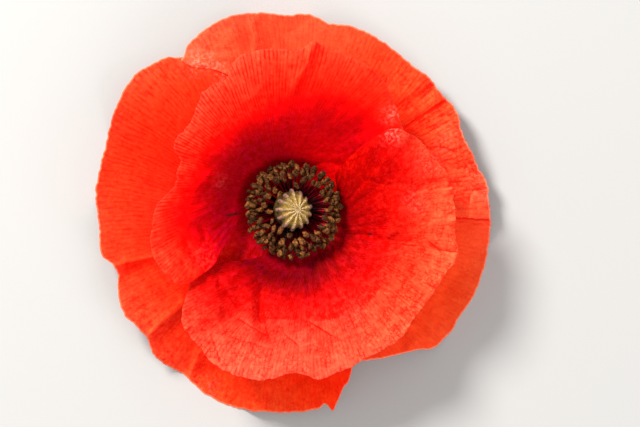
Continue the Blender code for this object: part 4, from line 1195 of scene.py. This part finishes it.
def pistil_finish():
    """Below, the ovary is painted a dark olive brown, painted shade on its waxy green skin, and so is the disc's
    edge; above, a pale disc: cream velvet rays that turn dull pink at their tips, with olive green between them."""
    f = Finish("pistil")
    place = f.object_place()
    fine, broad = f.grain(place, 4200.0, 3.0), f.grain(place, 900.0)
    outward = f.value("outward")
    cream = f.ramp(
        f.plus(outward, f.times(f.less(broad, 0.5), 0.9)),
        (0.0, 0.5, 0.36, 0.19), (0.5, 0.46, 0.31, 0.13), (0.75, 0.34, 0.21, 0.12), (1.0, 0.2, 0.09, 0.085),
    )
    olive = f.ramp(
        outward,
        (0.0, 0.38, 0.26, 0.1), (0.3, 0.3, 0.2, 0.03), (0.65, 0.23, 0.14, 0.018), (0.85, 0.1, 0.055, 0.008),
        (1.0, 0.06, 0.03, 0.006),
    )
    velvet = f.times(f.value("ray"), f.between(f.grain(place, 2200.0), 0.34, 0.5, 0.35, 1.0))
    colour = f.blend("MIX", velvet, olive, cream)
    colour = f.blend("MULTIPLY", f.between(fine, 0.3, 0.6, 1.0, 0.0), colour, (0.45, 0.36, 0.28))
    # painted shade: the ovary and the disc's edge in a dark olive brown
    ovary_painted_shade = f.blend("MIX", f.between(broad, 0.3, 0.7), (0.022, 0.012, 0.002), (0.05, 0.03, 0.005))
    colour = f.blend("MIX", f.between(outward, 1.05, 1.2), colour, ovary_painted_shade)
    f.surface(colour, f.bump(fine, 0.00022), roughness=0.7, gloss=0.12)
    return f.material


# -------- stem

# radius at heights, the grid, the height of the top's middle, and the number, depth and upper end of the ribs
STEM = [
    (0.0, 1.3), (0.5, 1.28), (1.2, 1.25), (2.2, 1.4), (2.8, 2.1), (3.2, 2.58), (3.75, 2.65), (4.3, 2.55),
    (4.6, 2.2),
]
STEM_SIDES, STEM_ROWS, STEM_CROWN = 72, 40, 4.75
RIBS, RIB_DEPTH, RIB_TOP = 9, 0.035, 2.6


def stem():
    """The receptacle and the cut stub, turned from a smooth profile, with low ribs on the stub."""
    turn = around(STEM_SIDES)
    z = np.linspace(0.0, STEM[-1][0], STEM_ROWS)
    rib = 1.0 + RIB_DEPTH * np.cos(RIBS * turn)[None, :] * (z < RIB_TOP)[:, None]
    radius = through(STEM, z)[:, None] * rib
    rings = np.stack([radius * np.cos(turn), radius * np.sin(turn), np.broadcast_to(z[:, None], radius.shape)], -1)
    points = np.concatenate([rings.reshape(-1, 3), [[0, 0, 0], [0, 0, STEM_CROWN]]])
    faces = closed_tube(STEM_ROWS, STEM_SIDES)
    piece("receptacle", points, faces, stem_finish(), "stem", "stem")


def stem_finish():
    """Fresh green stalk with fine lengthwise fibres, dark wine brown at the top, where the petals and stamens
    are set."""
    f = Finish("stalk")
    place = f.object_place()
    fibre = f.grain(f.node("Mapping", Vector=place, Scale=(1.0, 1.0, 0.15)), 3000.0, 3.0)
    colour = f.ramp(fibre, (0.3, 0.05, 0.1, 0.015), (0.7, 0.14, 0.22, 0.05))
    top = f.between(f.parts(place)[2], 0.0032, 0.0042)
    colour = f.blend("MIX", top, colour, (0.02, 0.006, 0.006))
    f.surface(colour, f.bump(fibre, 0.0001), roughness=0.55)
    return f.material


# -------- stage, light and camera

FLOOR_HALF = 1.5
FLOOR_COLOUR = (0.36, 0.355, 0.345, 1.0)
# name, place, size, power and colour of each lamp, all aimed at the same point
LAMPS = [
    ("key", (-0.40, 0.46, 0.52), 0.26, 14.0, (1.0, 0.98, 0.95)),
    ("fill", (0.45, -0.40, 0.50), 0.50, 3.0, (1.0, 0.98, 0.96)),
]
LAMP_AIM = (0.0, 0.0, 0.01)
SKY, SKY_STRENGTH = (0.97, 0.98, 1.0, 1.0), 0.85
CAMERA_HEIGHT, CAMERA_SHIFT = 1.0, (0.0054, -0.0007)
# the view is this wide at this height; the sensor is in millimetres
VIEW_WIDTH, VIEW_HEIGHT = 0.128, 0.007
SENSOR = 36.0


def stage():
    """A wide pale floor."""
    mesh = bpy.data.meshes.new("floor")
    s = FLOOR_HALF
    mesh.from_pydata([(-s, -s, 0), (s, -s, 0), (s, s, 0), (-s, s, 0)], [], [(0, 1, 2, 3)])
    floor = placed("floor", mesh)
    f = Finish("pale_floor")
    f.shader.inputs["Base Color"].default_value = FLOOR_COLOUR
    f.shader.inputs["Roughness"].default_value = 0.8
    mesh.materials.append(f.material)


def lights():
    """Round lamps, each turned so that it faces the aim, and an even sky."""
    for name, place, size, power, colour in LAMPS:
        data = bpy.data.lights.new(name, "AREA")
        data.shape = "DISK"
        data.size = size
        data.energy = power
        data.color = colour
        lamp = placed(name, data)
        lamp.location = place
        x, y, z = np.array(place) - np.array(LAMP_AIM)
        lamp.rotation_euler = (math.atan2(math.hypot(x, y), z), 0.0, math.atan2(y, x) + math.pi / 2)
    world = bpy.data.worlds.new("studio")
    bpy.context.scene.world = world
    world.use_nodes = True
    background = world.node_tree.nodes["Background"]
    background.inputs[0].default_value = SKY
    background.inputs[1].default_value = SKY_STRENGTH


def camera():
    """A camera straight above the flower."""
    data = bpy.data.cameras.new("camera")
    data.sensor_width = SENSOR
    data.lens = SENSOR * (CAMERA_HEIGHT - VIEW_HEIGHT) / VIEW_WIDTH
    seen = placed("camera", data)
    seen.location = (AXIS_X * MM + CAMERA_SHIFT[0], AXIS_Y * MM + CAMERA_SHIFT[1], CAMERA_HEIGHT)
    bpy.context.scene.camera = seen
    bpy.context.scene.view_settings.view_transform = "Standard"


petals()
stamens()
pistil()
stem()
stage()
lights()
camera()
